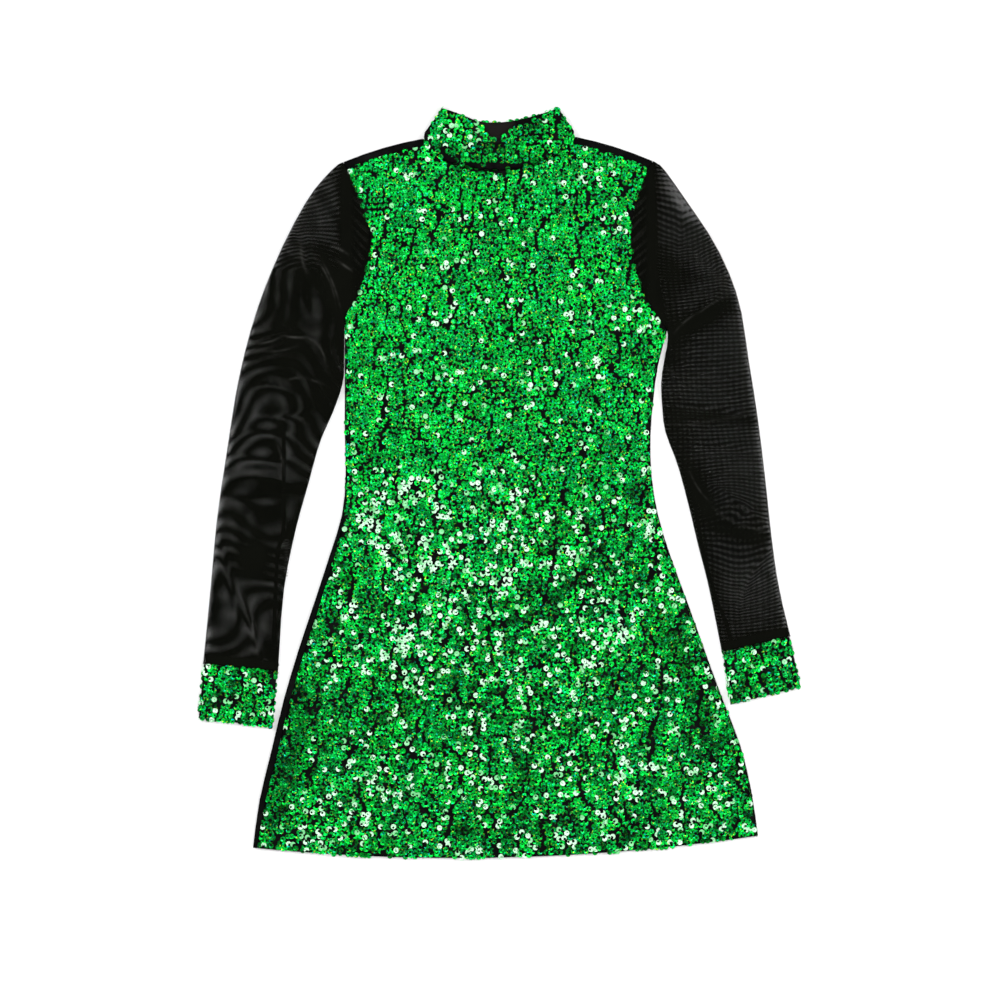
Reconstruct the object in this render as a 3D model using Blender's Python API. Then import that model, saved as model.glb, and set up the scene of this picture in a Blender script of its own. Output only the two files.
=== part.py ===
"""A sequin mini dress that lies flat on its back, with a mock neck, mesh sleeves and sequin cuffs.

X runs to the viewer's right, Y towards the collar, and Z up from the surface that the dress
lies on. Left and right are the viewer's. The tables are in millimetres and the meshes in metres.
Each piece is a thin wall: a grid of outer points, and a grid of inner points a wall's depth in.
"""

import math
from collections import namedtuple

import bmesh
import bpy

MM = 0.001

# Thickness of each cloth, the sequins' own height included
SEQUIN_CLOTH = 2.4
BACK_KNIT = 1.2
SLEEVE_MESH = 1.0
SEAM_GAP = 0.3
SIDE_GAP = 0.5
FOLD_GAP = 0.9

# Radius of the soft folds along the sides, where the cloth turns from the front to the back
BODY_ROLL = 2.6
SLEEVE_ROLL = 2.0
CUFF_ROLL = 2.8

# The back panel comes this far forward over the shoulders, measured round the fold
SHOULDER_LIP = 8.0
SHOULDER_BOW = 2.5

# Heights of the sleeves' top layer: at the armhole it lies a little under the front panel's face
ARMHOLE_STEP = 0.5
SLEEVE_HEIGHT = 3.9
SLEEVE_SETTLE = 0.2
CAP_REACH = 0.3

# How finely each piece is divided
BODY_ROWS = 24
SHOULDER_STEPS = 7
NECK_STEPS = 16
ARMHOLE_STEPS = 11
BACK_SHOULDER_STEPS = 4
BACK_NECK_STEPS = 10
BACK_ARMHOLE_STEPS = 5
SLEEVE_ROWS = 26
CUFF_ROWS = 3
CUFF_STEPS = 8
COLLAR_ROWS = 5
ROLL_ANGLES = (0.0, math.pi / 4, math.pi / 2)
ROLL_STEPS = len(ROLL_ANGLES) - 1
LIP_COLUMNS = 3
PATH_STEPS = 24
THINNEST_STEP = 0.25
SHARP_ANGLE = math.radians(50)

# A fold fades out over this share of its length past each end
FOLD_FADE = 0.25

Row = namedtuple("Row", "left_x left_y right_x right_y sag lip")
Cross = namedtuple("Cross", "outer_x outer_y inner_x inner_y")
Fold = namedtuple("Fold", "x0 y0 x1 y1 bow width rise")
Height = namedtuple("Height", "place height flare")

# The body's two side edges from the hem to the underarms. Sag is how far the middle of a row
# hangs below its ends, and lip is how wide the back panel shows at the left side.
BODY = [
    Row(-266, -394, 279, -381, 17, 5.0),
    Row(-259, -343, 272, -334, 13, 7.0),
    Row(-246, -289, 260, -284, 11, 7.5),
    Row(-233, -235, 240, -232, 9, 7.5),
    Row(-217, -181, 221, -180, 6, 7.5),
    Row(-199, -127, 202, -127, 4, 7.0),
    Row(-183, -78, 184, -78, 2, 5.5),
    Row(-170, -35, 171, -35, 1, 2.6),
    Row(-166, 8, 164, 8, 0, 0.7),
    Row(-167, 51, 163, 51, 0, 0.0),
    Row(-167, 89, 166, 89, 0, 0.0),
    Row(-167, 128, 171, 126, 0, 0.0),
    Row(-167, 178, 181, 165, 0, 0.0),
]

# Armholes from the underarm to the shoulder's fold, and necklines from left to right, in plan
ARMHOLES = {
    "left": {
        "front": [(-167, 178), (-147, 216), (-139, 261), (-150, 305), (-162, 333), (-168, 346)],
        "back": [(-167, 178), (-169, 218), (-164, 261), (-166, 305), (-168, 346)],
    },
    "right": {
        "front": [(181, 165), (156, 202), (142, 252), (146, 300), (158, 334), (165, 347)],
        "back": [(181, 165), (176, 204), (167, 252), (164, 300), (165, 347)],
    },
}
NECKLINES = {
    "front": [(-83, 371), (-80, 362), (-69, 352), (-43, 341), (-5, 336),
              (33, 341), (64, 354), (78, 364), (82, 373)],
    "back": [(-83, 371), (-45, 359), (0, 355), (45, 360), (82, 373)],
}
COLLAR_EDGES = {
    "front": [(-63, 404.5), (-39, 396), (-22, 388), (-15, 378), (-5, 369), (4, 370),
              (8, 379), (18, 386), (33, 390), (49, 396), (65, 404.5)],
    "back": [(-63, 404.5), (-40, 394), (-18, 389), (6, 389), (30, 393.5), (47, 398.5), (65, 404.5)],
}

# Height of the collar's front layer from its seam to its edge, and how far its ends swell out
COLLAR = [
    Height(0.0, 0.0, 0.0),
    Height(0.2, 1.9, 3.5),
    Height(0.45, 1.5, 2.5),
    Height(0.75, 1.1, 0.5),
    Height(1.0, 0.9, 0.0),
]

# The sleeves' outer and inner edges from the armhole to the cuff's seam, then the cuffs' own
SLEEVES = {
    "left": [
        Cross(-168, 346, -167, 178), Cross(-180, 339, -168, 166), Cross(-208, 305, -168, 140),
        Cross(-241, 240, -169, 109), Cross(-265, 176, -179, 78), Cross(-282, 109, -194, 43),
        Cross(-294, 35, -207, -4), Cross(-305, -40, -220, -51), Cross(-312, -116, -233, -118),
        Cross(-320, -196, -239, -204),
    ],
    "right": [
        Cross(165, 347, 181, 165), Cross(177, 340, 183, 154), Cross(202, 305, 179, 134),
        Cross(235, 253, 175, 109), Cross(258, 197, 175.5, 84), Cross(269, 132, 179, 55),
        Cross(279, 68, 192, 20), Cross(287, 3, 204, -24), Cross(294, -62, 214, -66),
        Cross(302, -115, 226, -113), Cross(314, -166, 240, -183),
    ],
}
CUFFS = {
    "left": [Cross(-320, -196, -239, -204), Cross(-326, -254, -244, -264)],
    "right": [Cross(314, -166, 240, -183), Cross(326, -220, 248, -240)],
}

# The largest folds, each along a line with a bow to one side: a ridge, or a trough where the
# rise is negative
BODY_FOLDS = [
    Fold(150, -18, 66, -118, -10, 15, 1.9),
    Fold(158, -42, 80, -138, -8, 10, -1.0),
    Fold(-34, -140, 66, -136, 8, 12, 1.6),
    Fold(150, -130, 205, -312, 10, 19, 1.7),
    Fold(178, -128, 236, -300, 8, 13, -0.9),
    Fold(-102, -176, -86, -312, -9, 20, 1.9),
    Fold(-204, -150, -226, -290, 6, 13, 1.5),
    Fold(-148, 57, -138, -24, 6, 12, -0.9),
    Fold(-132, 64, -120, -40, 5, 14, 1.4),
    Fold(80, 46, 163, 62, 6, 9, 1.5),
    Fold(160, 140, 104, 150, -5, 10, 1.7),
    Fold(-132, 238, -104, 160, 6, 11, 1.6),
    Fold(-62, 322, 58, 324, -10, 9, 1.5),
    Fold(20, -250, 44, -370, 5, 18, 1.5),
]
SLEEVE_FOLDS = [
    Fold(-214, 284, -188, 158, -8, 8, 1.6),
    Fold(-262, 141, -196, 150, 5, 8, 1.3),
    Fold(-250, 100, -190, 70, 6, 8, 1.5),
    Fold(-278, 62, -226, 36, 5, 8, 1.3),
    Fold(-286, 3, -236, -24, 5, 9, 1.1),
    Fold(-290, -84, -266, -186, 5, 7, 1.4),
    Fold(184, 160, 245, 232, 6, 8, 1.8),
    Fold(184, 76, 276, 82, -5, 7, 1.5),
    Fold(205, 8, 290, -48, 6, 8, 1.3),
    Fold(291, -69, 250, -122, -5, 7, 1.4),
    Fold(216, 285, 250, 222, 5, 7, 1.3),
]


def smooth(rows, place):
    """Read between the rows of a table, on a smooth curve through them."""
    last = len(rows) - 1
    place = min(max(place, 0.0), float(last))
    start = min(int(place), last - 1)
    t = place - start
    around = [rows[min(max(start + k, 0), last)] for k in (-1, 0, 1, 2)]
    return tuple(
        b + 0.5 * t * (c - a + t * (2 * a - 5 * b + 4 * c - d + t * (3 * b - a - 3 * c + d)))
        for a, b, c, d in zip(*around)
    )


def between(start, end, share):
    """The point at a share of the way from one point to another."""
    return tuple(a + (b - a) * share for a, b in zip(start, end))


class Path:
    """A smooth plan curve through a few points, read by the distance along it."""

    def __init__(self, points):
        steps = PATH_STEPS * (len(points) - 1)
        self.points = [smooth(points, i / PATH_STEPS) for i in range(steps + 1)]
        self.marks = [0.0]
        for here, there in zip(self.points, self.points[1:]):
            self.marks.append(self.marks[-1] + math.dist(here, there))
        self.length = self.marks[-1]

    def at(self, distance):
        distance = min(max(distance, 0.0), self.length)
        index = next(i for i, mark in enumerate(self.marks[1:]) if mark >= distance - 1e-9)
        span = self.marks[index + 1] - self.marks[index]
        return between(self.points[index], self.points[index + 1],
                       (distance - self.marks[index]) / span)

    def left_of(self, distance):
        """The unit normal to the left of the way the path runs."""
        x0, y0 = self.at(distance - 1.0)
        x1, y1 = self.at(distance + 1.0)
        size = math.dist((x0, y0), (x1, y1))
        return (y0 - y1) / size, (x1 - x0) / size


def relief(folds, x, y):
    """How far the folds raise or lower the top layer at a point."""
    total = 0.0
    for fold in folds:
        length = math.dist((fold.x0, fold.y0), (fold.x1, fold.y1))
        ux, uy = (fold.x1 - fold.x0) / length, (fold.y1 - fold.y0) / length
        dx, dy = x - fold.x0, y - fold.y0
        along = (dx * ux + dy * uy) / length
        if not -FOLD_FADE < along < 1 + FOLD_FADE:
            continue
        across = dy * ux - dx * uy - fold.bow * 4 * along * (1 - along)
        taper = math.cos((along - 0.5) * math.pi / (1 + 2 * FOLD_FADE)) ** 2
        total += fold.rise * taper * math.exp(-((across / fold.width) ** 2))
    return total


def body_top(x, y):
    """Height of the front panel's face."""
    return 2 * BODY_ROLL + relief(BODY_FOLDS, x, y)


def roll_inset(radius, depth, angle):
    """How far in from the fold's outermost point a point of the fold lies."""
    return radius - (radius - depth) * math.cos(angle)


def layer_height(radius, depth, angle, top):
    """Height of a point on a fold, whose top layer lies at the height top, or on the back if None."""
    face = depth if top is None else top - depth
    return radius + (face - radius) * math.sin(angle)


def body_point(row, arc, depth):
    """A point of the body's tube. The arc runs from the left fold: up and over, or under if below 0."""
    width = math.dist((row.left_x, row.left_y), (row.right_x, row.right_y))
    quarter = BODY_ROLL * math.pi / 2
    half_round = width - 2 * BODY_ROLL + 2 * quarter
    reach = abs(arc)
    angle = min(reach, half_round - reach, quarter) / BODY_ROLL
    if reach < quarter:
        across = roll_inset(BODY_ROLL, depth, angle)
    elif reach > half_round - quarter:
        across = width - roll_inset(BODY_ROLL, depth, angle)
    else:
        across = BODY_ROLL + reach - quarter
    share = across / width
    x = row.left_x + (row.right_x - row.left_x) * share
    y = row.left_y + (row.right_y - row.left_y) * share - row.sag * 4 * share * (1 - share)
    top = body_top(x, y) if arc >= 0 else None
    return x, y, layer_height(BODY_ROLL, depth, angle, top)


def half_way_round(row):
    """Length of the body's tube from its left fold over the top to its right fold."""
    width = math.dist((row.left_x, row.left_y), (row.right_x, row.right_y))
    return width + BODY_ROLL * (math.pi - 2)


def lip_arc(width):
    """Length round the fold of a lip that shows so wide from above."""
    if width >= BODY_ROLL:
        return width + BODY_ROLL * (math.pi / 2 - 1)
    return BODY_ROLL * math.acos(1 - width / BODY_ROLL)


def front_arcs(row, steps):
    """Arcs of the front panel's columns, from the left seam over the top to the right fold."""
    end = half_way_round(row)
    arcs = [lip_arc(max(row.lip, 0.0))]
    for angle in ROLL_ANGLES[1:]:
        arcs.append(max(angle * BODY_ROLL, arcs[-1] + THINNEST_STEP))
    first, last = arcs[-1], end - BODY_ROLL * math.pi / 2
    arcs += [first + (last - first) * i / steps for i in range(1, steps)]
    return arcs + [end - angle * BODY_ROLL for angle in reversed(ROLL_ANGLES)]


def back_arcs(row, steps):
    """Arcs of the back panel's columns, from its lip round the left fold and under to the right."""
    end = half_way_round(row)
    arcs = [lip_arc(max(row.lip, 0.0)) - SIDE_GAP]
    anchors = [BODY_ROLL * angle for angle in (math.pi / 2, math.pi / 4, 0, -math.pi / 4, -math.pi / 2)]
    for anchor in anchors:
        arcs.append(min(anchor, arcs[-1] - THINNEST_STEP))
    first, last = arcs[-1], BODY_ROLL * math.pi / 2 - end
    arcs += [first + (last - first) * i / steps for i in range(1, steps + 1)]
    return arcs + [BODY_ROLL * math.pi / 4 - end, SEAM_GAP - end]


def stations(length, depth, steps, lips=(0.0, 0.0)):
    """Distances along one layer of an opening, from fold to fold, with a stop at each seam."""
    start = [roll_inset(BODY_ROLL, depth, angle) for angle in ROLL_ANGLES]
    first = lips[0] or start[-1]
    last = length - (lips[1] or start[-1])
    middle = [first + (last - first) * i / steps for i in range(steps + 1)]
    if not lips[0]:
        middle = middle[1:]
    if not lips[1]:
        middle = middle[:-1]
    return start + middle + [length - inset for inset in reversed(start)]


class Opening:
    """A seam that runs round an armhole or the neck: a curve on each layer, joined at two folds."""

    def __init__(self, front, back, front_steps, back_steps, lips, side):
        self.paths = {"front": Path(front), "back": Path(back)}
        self.steps = {"front": front_steps, "back": back_steps}
        self.lips = {"front": lips, "back": (0.0, 0.0)}
        self.side = side

    def row(self, layer, depth):
        """Plan points along one layer, from fold to fold."""
        path = self.paths[layer]
        places = stations(path.length, depth, self.steps[layer], self.lips[layer])
        return [path.at(place) for place in places]

    def moved_row(self, layer, depth):
        """The same points, moved over the seam's gap to where the next piece begins."""
        path = self.paths[layer]
        other = self.paths["back" if layer == "front" else "front"]
        places = stations(path.length, depth, self.steps[layer], self.lips[layer])
        moved = []
        for place in places:
            nx, ny = path.left_of(place)
            gap = SEAM_GAP
            for end in (0.0, path.length):
                if abs(place - end) < BODY_ROLL:
                    ox, oy = other.left_of(0.0 if end == 0.0 else other.length)
                    nx, ny, gap = nx + ox, ny + oy, FOLD_GAP
            size = math.hypot(nx, ny) / (gap * self.side)
            x, y = path.at(place)
            moved.append((x + nx / size, y + ny / size))
        return moved


ARM_OPENINGS = {
    "left": Opening(ARMHOLES["left"]["front"], ARMHOLES["left"]["back"],
                    ARMHOLE_STEPS, BACK_ARMHOLE_STEPS, (0.0, SHOULDER_LIP), 1),
    "right": Opening(ARMHOLES["right"]["front"], ARMHOLES["right"]["back"],
                     ARMHOLE_STEPS, BACK_ARMHOLE_STEPS, (0.0, SHOULDER_LIP), -1),
}
NECK_OPENING = Opening(NECKLINES["front"], NECKLINES["back"],
                       NECK_STEPS, BACK_NECK_STEPS, (SHOULDER_LIP, SHOULDER_LIP), 1)


def shares(points):
    """Each point's share of the way along its row."""
    marks = [0.0]
    for here, there in zip(points, points[1:]):
        marks.append(marks[-1] + math.dist(here, there))
    return [mark / marks[-1] for mark in marks]


def patch(bottom, top, left, right):
    """Plan points that fill a four-sided piece of cloth evenly between its edges."""
    across, up_left, up_right = shares(bottom), shares(left), shares(right)
    rows = []
    for i, (edge_left, edge_right) in enumerate(zip(left, right)):
        v = (up_left[i] + up_right[i]) / 2
        row = []
        for j, u in enumerate(across):
            row.append(tuple(
                (1 - v) * bottom[j][k] + v * top[j][k] + (1 - u) * edge_left[k] + u * edge_right[k]
                - (1 - u) * (1 - v) * bottom[0][k] - u * (1 - v) * bottom[-1][k]
                - (1 - u) * v * top[0][k] - u * v * top[-1][k]
                for k in (0, 1)))
        rows.append(row)
    return rows


def shoulder(start, end, steps):
    """Plan points along a shoulder, bowed slightly up, with both ends."""
    points = []
    for i in range(steps + 1):
        share = i / steps
        x, y = between(start, end, share)
        points.append((x, y + SHOULDER_BOW * 4 * share * (1 - share)))
    return points


def front_panel():
    """The front panel's outer and inner grids."""
    grids = []
    steps = 2 * SHOULDER_STEPS + NECK_STEPS - 2 * ROLL_STEPS
    lip = len(ROLL_ANGLES)
    for depth in (0.0, SEQUIN_CLOTH):
        grid = []
        for i in range(BODY_ROWS + 1):
            row = Row(*smooth(BODY, i * (len(BODY) - 1) / BODY_ROWS))
            grid.append([body_point(row, arc, depth) for arc in front_arcs(row, steps)])
        left, right = (ARM_OPENINGS[side].row("front", 0.0)[:-lip] for side in ("left", "right"))
        neck = NECK_OPENING.row("front", 0.0)[lip:-lip]
        top = (shoulder(left[-1], neck[0], SHOULDER_STEPS) + neck[1:-1]
               + shoulder(neck[-1], right[-1], SHOULDER_STEPS))
        bottom = [point[:2] for point in grid[-1]]
        for i, points in enumerate(patch(bottom, top, left, right)[1:], start=1):
            row = [(x, y, body_top(x, y) - depth) for x, y in points]
            if i < len(ROLL_ANGLES):
                for j in (0, -1):
                    x, y, _ = row[j]
                    row[j] = (x, y, layer_height(BODY_ROLL, depth, ROLL_ANGLES[i], body_top(x, y)))
            grid.append(row)
        grids.append(grid)
    return grids


def back_panel():
    """The back panel's grids, with its lips, and which cells of the grid it has."""
    grids = []
    steps = 2 * BACK_SHOULDER_STEPS + BACK_NECK_STEPS - 2 * ROLL_STEPS
    angles = len(ROLL_ANGLES)
    for depth in (0.0, BACK_KNIT):
        grid = []
        for i in range(BODY_ROWS + 1):
            row = Row(*smooth(BODY, i * (len(BODY) - 1) / BODY_ROWS))
            grid.append([body_point(row, arc, depth) for arc in back_arcs(row, steps)])
        left, right = (ARM_OPENINGS[side].row("back", 0.0)[:1 - angles] for side in ("left", "right"))
        neck = NECK_OPENING.row("back", 0.0)[angles - 1:1 - angles]
        top = (shoulder(left[-1], neck[0], BACK_SHOULDER_STEPS) + neck[1:-1]
               + shoulder(neck[-1], right[-1], BACK_SHOULDER_STEPS))
        bottom = [point[:2] for point in grid[-1][LIP_COLUMNS:]]
        for i, points in enumerate(patch(bottom, top, left, right)[1:], start=1):
            row = [(x, y, depth) for x, y in points]
            if i < angles:
                for j in (0, -1):
                    row[j] = row[j][:2] + (layer_height(BODY_ROLL, depth, ROLL_ANGLES[i], None),)
            grid.append([None] * LIP_COLUMNS + row)
        grid += [[None] * LIP_COLUMNS + row for row in shoulder_lips(depth)]
        grids.append(grid)
    return grids


def shoulder_lips(depth):
    """Rows that take the back panel round each shoulder's fold to the seam on the front."""
    lip = len(ROLL_ANGLES)
    neck_gap = [None] * (BACK_NECK_STEPS - 1)
    turns = [("back", 1), ("front", 0), ("front", 1), ("front", ROLL_STEPS), ("front", lip)]
    rows = []
    for layer, index in turns:
        angle = ROLL_ANGLES[min(index, lip - 1)]
        neck_row = NECK_OPENING.row(layer, depth)
        ends = []
        for side, neck_point in (("left", neck_row[index]), ("right", neck_row[-1 - index])):
            arm_point = ARM_OPENINGS[side].row(layer, depth)[-1 - index]
            ends.append((arm_point, neck_point))
        row = []
        for side, (arm_point, neck_point) in zip(("left", "right"), ends):
            points = shoulder(arm_point, neck_point, BACK_SHOULDER_STEPS)
            if index == lip:
                points = [(x, y + SEAM_GAP) for x, y in points]
            if side == "right":
                points.reverse()
            for x, y in points:
                top = body_top(x, y) if layer == "front" else None
                row.append((x, y, layer_height(BODY_ROLL, depth, angle, top)))
            if side == "left":
                row += neck_gap
        rows.append(row)
    return rows


def sleeve_top(x, y, share):
    """Height of a sleeve's top layer, which comes down from the armhole and then lies low."""
    start = body_top(x, y) - ARMHOLE_STEP
    lying = SLEEVE_HEIGHT + relief(SLEEVE_FOLDS, x, y)
    blend = min(share / SLEEVE_SETTLE, 1.0)
    return start + (lying - start) * blend * blend * (3 - 2 * blend)


def tube_row(cross, radius, depth, inner_shares, swell, top_height):
    """One ring of a flattened tube from its inner fold over the top to the outer one and back.

    inner_shares gives, for each layer, the share of the way across of each point between the
    folds. swell gives how far a point of a layer is moved to the side of the straight line.
    """
    inner, outer = (cross.inner_x, cross.inner_y), (cross.outer_x, cross.outer_y)
    width = math.dist(inner, outer)
    ux, uy = (outer[0] - inner[0]) / width, (outer[1] - inner[1]) / width
    insets = [roll_inset(radius, depth, angle) for angle in ROLL_ANGLES]
    ring = []
    for layer in ("front", "back"):
        places = insets + [radius + (width - 2 * radius) * share for share in inner_shares[layer]]
        places += [width - inset for inset in reversed(insets)]
        points = []
        for k, place in enumerate(places):
            angle = ROLL_ANGLES[min(k, len(places) - 1 - k, len(ROLL_ANGLES) - 1)]
            x, y = inner[0] + ux * place, inner[1] + uy * place
            side = swell(layer, x, y)
            x, y = x - uy * side, y + ux * side
            top = top_height(x, y) if layer == "front" else None
            points.append((x, y, layer_height(radius, depth, angle, top)))
        ring += points if layer == "front" else points[-2:0:-1]
    return ring


def armhole_swell(side):
    """How far each layer of an armhole lies to the side of the line from fold to fold."""
    start = SLEEVES[side][0]
    chord = math.dist(start[:2], start[2:])
    ux, uy = (start.outer_x - start.inner_x) / chord, (start.outer_y - start.inner_y) / chord
    curves = {}
    for layer, path in ARM_OPENINGS[side].paths.items():
        offsets = [(x - start.inner_x, y - start.inner_y) for x, y in path.points]
        curves[layer] = [(dx * ux + dy * uy, dy * ux - dx * uy) for dx, dy in offsets]

    def swell(layer, x, y):
        along = (x - start.inner_x) * ux + (y - start.inner_y) * uy
        for (a0, s0), (a1, s1) in zip(curves[layer], curves[layer][1:]):
            if a0 <= along < a1:
                return s0 + (s1 - s0) * (along - a0) / (a1 - a0)
        return 0.0

    return swell


def sleeve(side):
    """A sleeve's outer and inner rings, from the armhole to the cuff's seam."""
    opening = ARM_OPENINGS[side]
    table = SLEEVES[side]
    full_swell = armhole_swell(side)
    angles = len(ROLL_ANGLES)
    grids = []
    for depth in (0.0, SLEEVE_MESH):
        inner_shares, first = {}, []
        for layer in ("front", "back"):
            length = opening.paths[layer].length
            places = stations(length, 0.0, opening.steps[layer], opening.lips[layer])
            inner_shares[layer] = [(place - BODY_ROLL) / (length - 2 * BODY_ROLL)
                                   for place in places[angles:-angles]]
            points = []
            for k, (x, y) in enumerate(opening.moved_row(layer, depth)):
                angle = ROLL_ANGLES[min(k, len(places) - 1 - k, angles - 1)]
                top = sleeve_top(x, y, 0.0) if layer == "front" else None
                points.append((x, y, layer_height(BODY_ROLL, depth, angle, top)))
            first += points if layer == "front" else points[-2:0:-1]
        grid = [first]
        for i in range(1, SLEEVE_ROWS + 1):
            share = i / SLEEVE_ROWS
            cross = Cross(*smooth(table, share * (len(table) - 1)))
            radius = BODY_ROLL + (SLEEVE_ROLL - BODY_ROLL) * min(share / SLEEVE_SETTLE, 1.0)
            cap = max(1 - share / CAP_REACH, 0.0) ** 2
            grid.append(tube_row(cross, radius, depth, inner_shares,
                                 lambda layer, x, y: cap * full_swell(layer, x, y),
                                 lambda x, y: sleeve_top(x, y, share)))
        grids.append(grid)
    return grids


def cuff(side):
    """A cuff's outer and inner rings, from its seam to the wrist's edge."""
    start, end = CUFFS[side]
    inner_shares = {layer: [i / CUFF_STEPS for i in range(1, CUFF_STEPS)]
                    for layer in ("front", "back")}
    gap = SEAM_GAP / math.dist(start[:2], end[:2])
    grids = []
    for depth in (0.0, SEQUIN_CLOTH):
        grid = []
        for i in range(CUFF_ROWS + 1):
            cross = Cross(*between(start, end, gap + (1 - gap) * i / CUFF_ROWS))
            grid.append(tube_row(cross, CUFF_ROLL, depth, inner_shares,
                                 lambda layer, x, y: 0.0, lambda x, y: 2 * CUFF_ROLL))
        grids.append(grid)
    return grids


def collar():
    """The collar's outer and inner rings, from the neck's seam to its upper edge."""
    edges = {layer: Path(points) for layer, points in COLLAR_EDGES.items()}
    angles = len(ROLL_ANGLES)
    grids = []
    for depth in (0.0, SEQUIN_CLOTH):
        grid = []
        for i in range(COLLAR_ROWS + 1):
            share = i / COLLAR_ROWS
            place = next(k for k, row in enumerate(COLLAR[1:]) if row.place >= share)
            low, high = COLLAR[place], COLLAR[place + 1]
            _, height, flare = between(low, high, (share - low.place) / (high.place - low.place))
            ring = []
            for layer in ("front", "back"):
                seam = NECK_OPENING.moved_row(layer, depth)
                seam_path = NECK_OPENING.paths[layer]
                places = stations(seam_path.length, depth, NECK_OPENING.steps[layer],
                                  NECK_OPENING.lips[layer])
                edge = edges[layer]
                points = []
                for k, (point, at) in enumerate(zip(seam, places)):
                    across = at / seam_path.length
                    inset = min(k, len(places) - 1 - k)
                    goal = edge.at(across * edge.length)
                    if inset < angles:
                        reach = roll_inset(BODY_ROLL, depth, ROLL_ANGLES[inset])
                        goal = edge.at(reach if k < angles else edge.length - reach)
                    x, y = between(point, goal, share)
                    x -= flare * (1 - 2 * across) ** 3
                    angle = ROLL_ANGLES[min(inset, angles - 1)]
                    top = body_top(x, y) + height if layer == "front" else None
                    points.append((x, y, layer_height(BODY_ROLL, depth, angle, top)))
                ring += points if layer == "front" else points[-2:0:-1]
            grid.append(ring)
        grids.append(grid)
    return grids


def cloth_wall(name, grids, material, closed=False):
    """Make one closed wall from an outer and an inner grid. A missing point is None."""
    outer, inner = grids
    rows, columns = len(outer), len(outer[0])
    mesh = bmesh.new()
    verts = {}

    def vert(layer, i, j):
        key = (layer, i, j % columns)
        if key not in verts:
            x, y, z = (outer, inner)[layer][i][j % columns]
            verts[key] = mesh.verts.new((x * MM, y * MM, z * MM))
        return verts[key]

    def has_cell(i, j):
        if closed:
            j %= columns
        if not (0 <= i < rows - 1 and 0 <= j < columns - (0 if closed else 1)):
            return False
        return all(outer[a][b % columns] for a in (i, i + 1) for b in (j, j + 1))

    for i in range(rows - 1):
        for j in range(columns if closed else columns - 1):
            if not has_cell(i, j):
                continue
            corners = ((i, j), (i, j + 1), (i + 1, j + 1), (i + 1, j))
            mesh.faces.new([vert(0, *corner) for corner in corners])
            mesh.faces.new([vert(1, *corner) for corner in reversed(corners)])
            sides = ((i - 1, j), (i, j + 1), (i + 1, j), (i, j - 1))
            for k, beside in enumerate(sides):
                if has_cell(*beside):
                    continue
                here, there = corners[k], corners[(k + 1) % 4]
                mesh.faces.new([vert(1, *here), vert(1, *there), vert(0, *there), vert(0, *here)])

    bmesh.ops.recalc_face_normals(mesh, faces=mesh.faces)
    bmesh.ops.triangulate(mesh, faces=mesh.faces, quad_method="SHORT_EDGE")
    data = bpy.data.meshes.new(name)
    mesh.to_mesh(data)
    mesh.free()
    data.shade_smooth()
    data.set_sharp_from_angle(angle=SHARP_ANGLE)
    data.materials.append(material)
    piece = bpy.data.objects.new(name, data)
    bpy.context.collection.objects.link(piece)
    return piece


def cloth_material(name, color, roughness, metallic):
    """A cloth's own material."""
    material = bpy.data.materials.new(name)
    material.use_nodes = True
    shader = material.node_tree.nodes["Principled BSDF"]
    shader.inputs["Base Color"].default_value = (*color, 1.0)
    shader.inputs["Roughness"].default_value = roughness
    shader.inputs["Metallic"].default_value = metallic
    return material


def clear_scene():
    for piece in list(bpy.data.objects):
        bpy.data.objects.remove(piece)


def main():
    clear_scene()
    sequins = cloth_material("green_sequin_cloth", (0.01, 0.32, 0.06), 0.25, 0.6)
    knit = cloth_material("black_stretch_knit", (0.012, 0.012, 0.013), 0.8, 0.0)
    mesh = cloth_material("black_power_mesh", (0.02, 0.02, 0.021), 0.7, 0.0)

    cloth_wall("front_panel", front_panel(), sequins)
    cloth_wall("back_panel", back_panel(), knit)
    cloth_wall("collar", collar(), sequins, closed=True)
    for side in ("left", "right"):
        cloth_wall("sleeve_" + side, sleeve(side), mesh, closed=True)
        cloth_wall("cuff_" + side, cuff(side), sequins, closed=True)


main()
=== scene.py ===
"""Looks of a sequin mini dress that lies flat on its back: cloth, sewn sequins, seams and stage.

X runs to the viewer's right, Y towards the collar, and Z up from the floor. Left and right are
the viewer's. The tables of folds and seams are in millimetres, and everything else in metres.
"""

import math
from functools import partialmethod

import bmesh
import bpy
import numpy as np
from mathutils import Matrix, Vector


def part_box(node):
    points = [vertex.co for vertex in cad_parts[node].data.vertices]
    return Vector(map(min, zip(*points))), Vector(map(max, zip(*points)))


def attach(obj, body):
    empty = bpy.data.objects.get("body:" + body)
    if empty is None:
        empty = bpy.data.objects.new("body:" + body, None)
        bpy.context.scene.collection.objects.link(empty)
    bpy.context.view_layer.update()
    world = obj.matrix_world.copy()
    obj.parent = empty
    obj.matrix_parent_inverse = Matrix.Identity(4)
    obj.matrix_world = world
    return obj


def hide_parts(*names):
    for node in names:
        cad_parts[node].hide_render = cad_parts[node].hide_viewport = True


bl_info = {
    "name": "Sequin Mini Dress",
    "version": (1, 0, 0),
    "blender": (4, 5, 0),
    "location": "3D View > Sidebar > Dress",
    "description": "Makes the cloth, sequins and seams of a sequin mini dress that lies flat",
    "category": "Object",
}

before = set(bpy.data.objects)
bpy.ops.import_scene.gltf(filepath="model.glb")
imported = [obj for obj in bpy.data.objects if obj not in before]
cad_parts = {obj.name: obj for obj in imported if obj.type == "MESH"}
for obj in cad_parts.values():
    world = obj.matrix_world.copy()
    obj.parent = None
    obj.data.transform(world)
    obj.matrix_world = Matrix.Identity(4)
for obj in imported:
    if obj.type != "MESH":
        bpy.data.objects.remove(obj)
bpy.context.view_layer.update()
BODY = "root"
MM = 0.001

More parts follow.
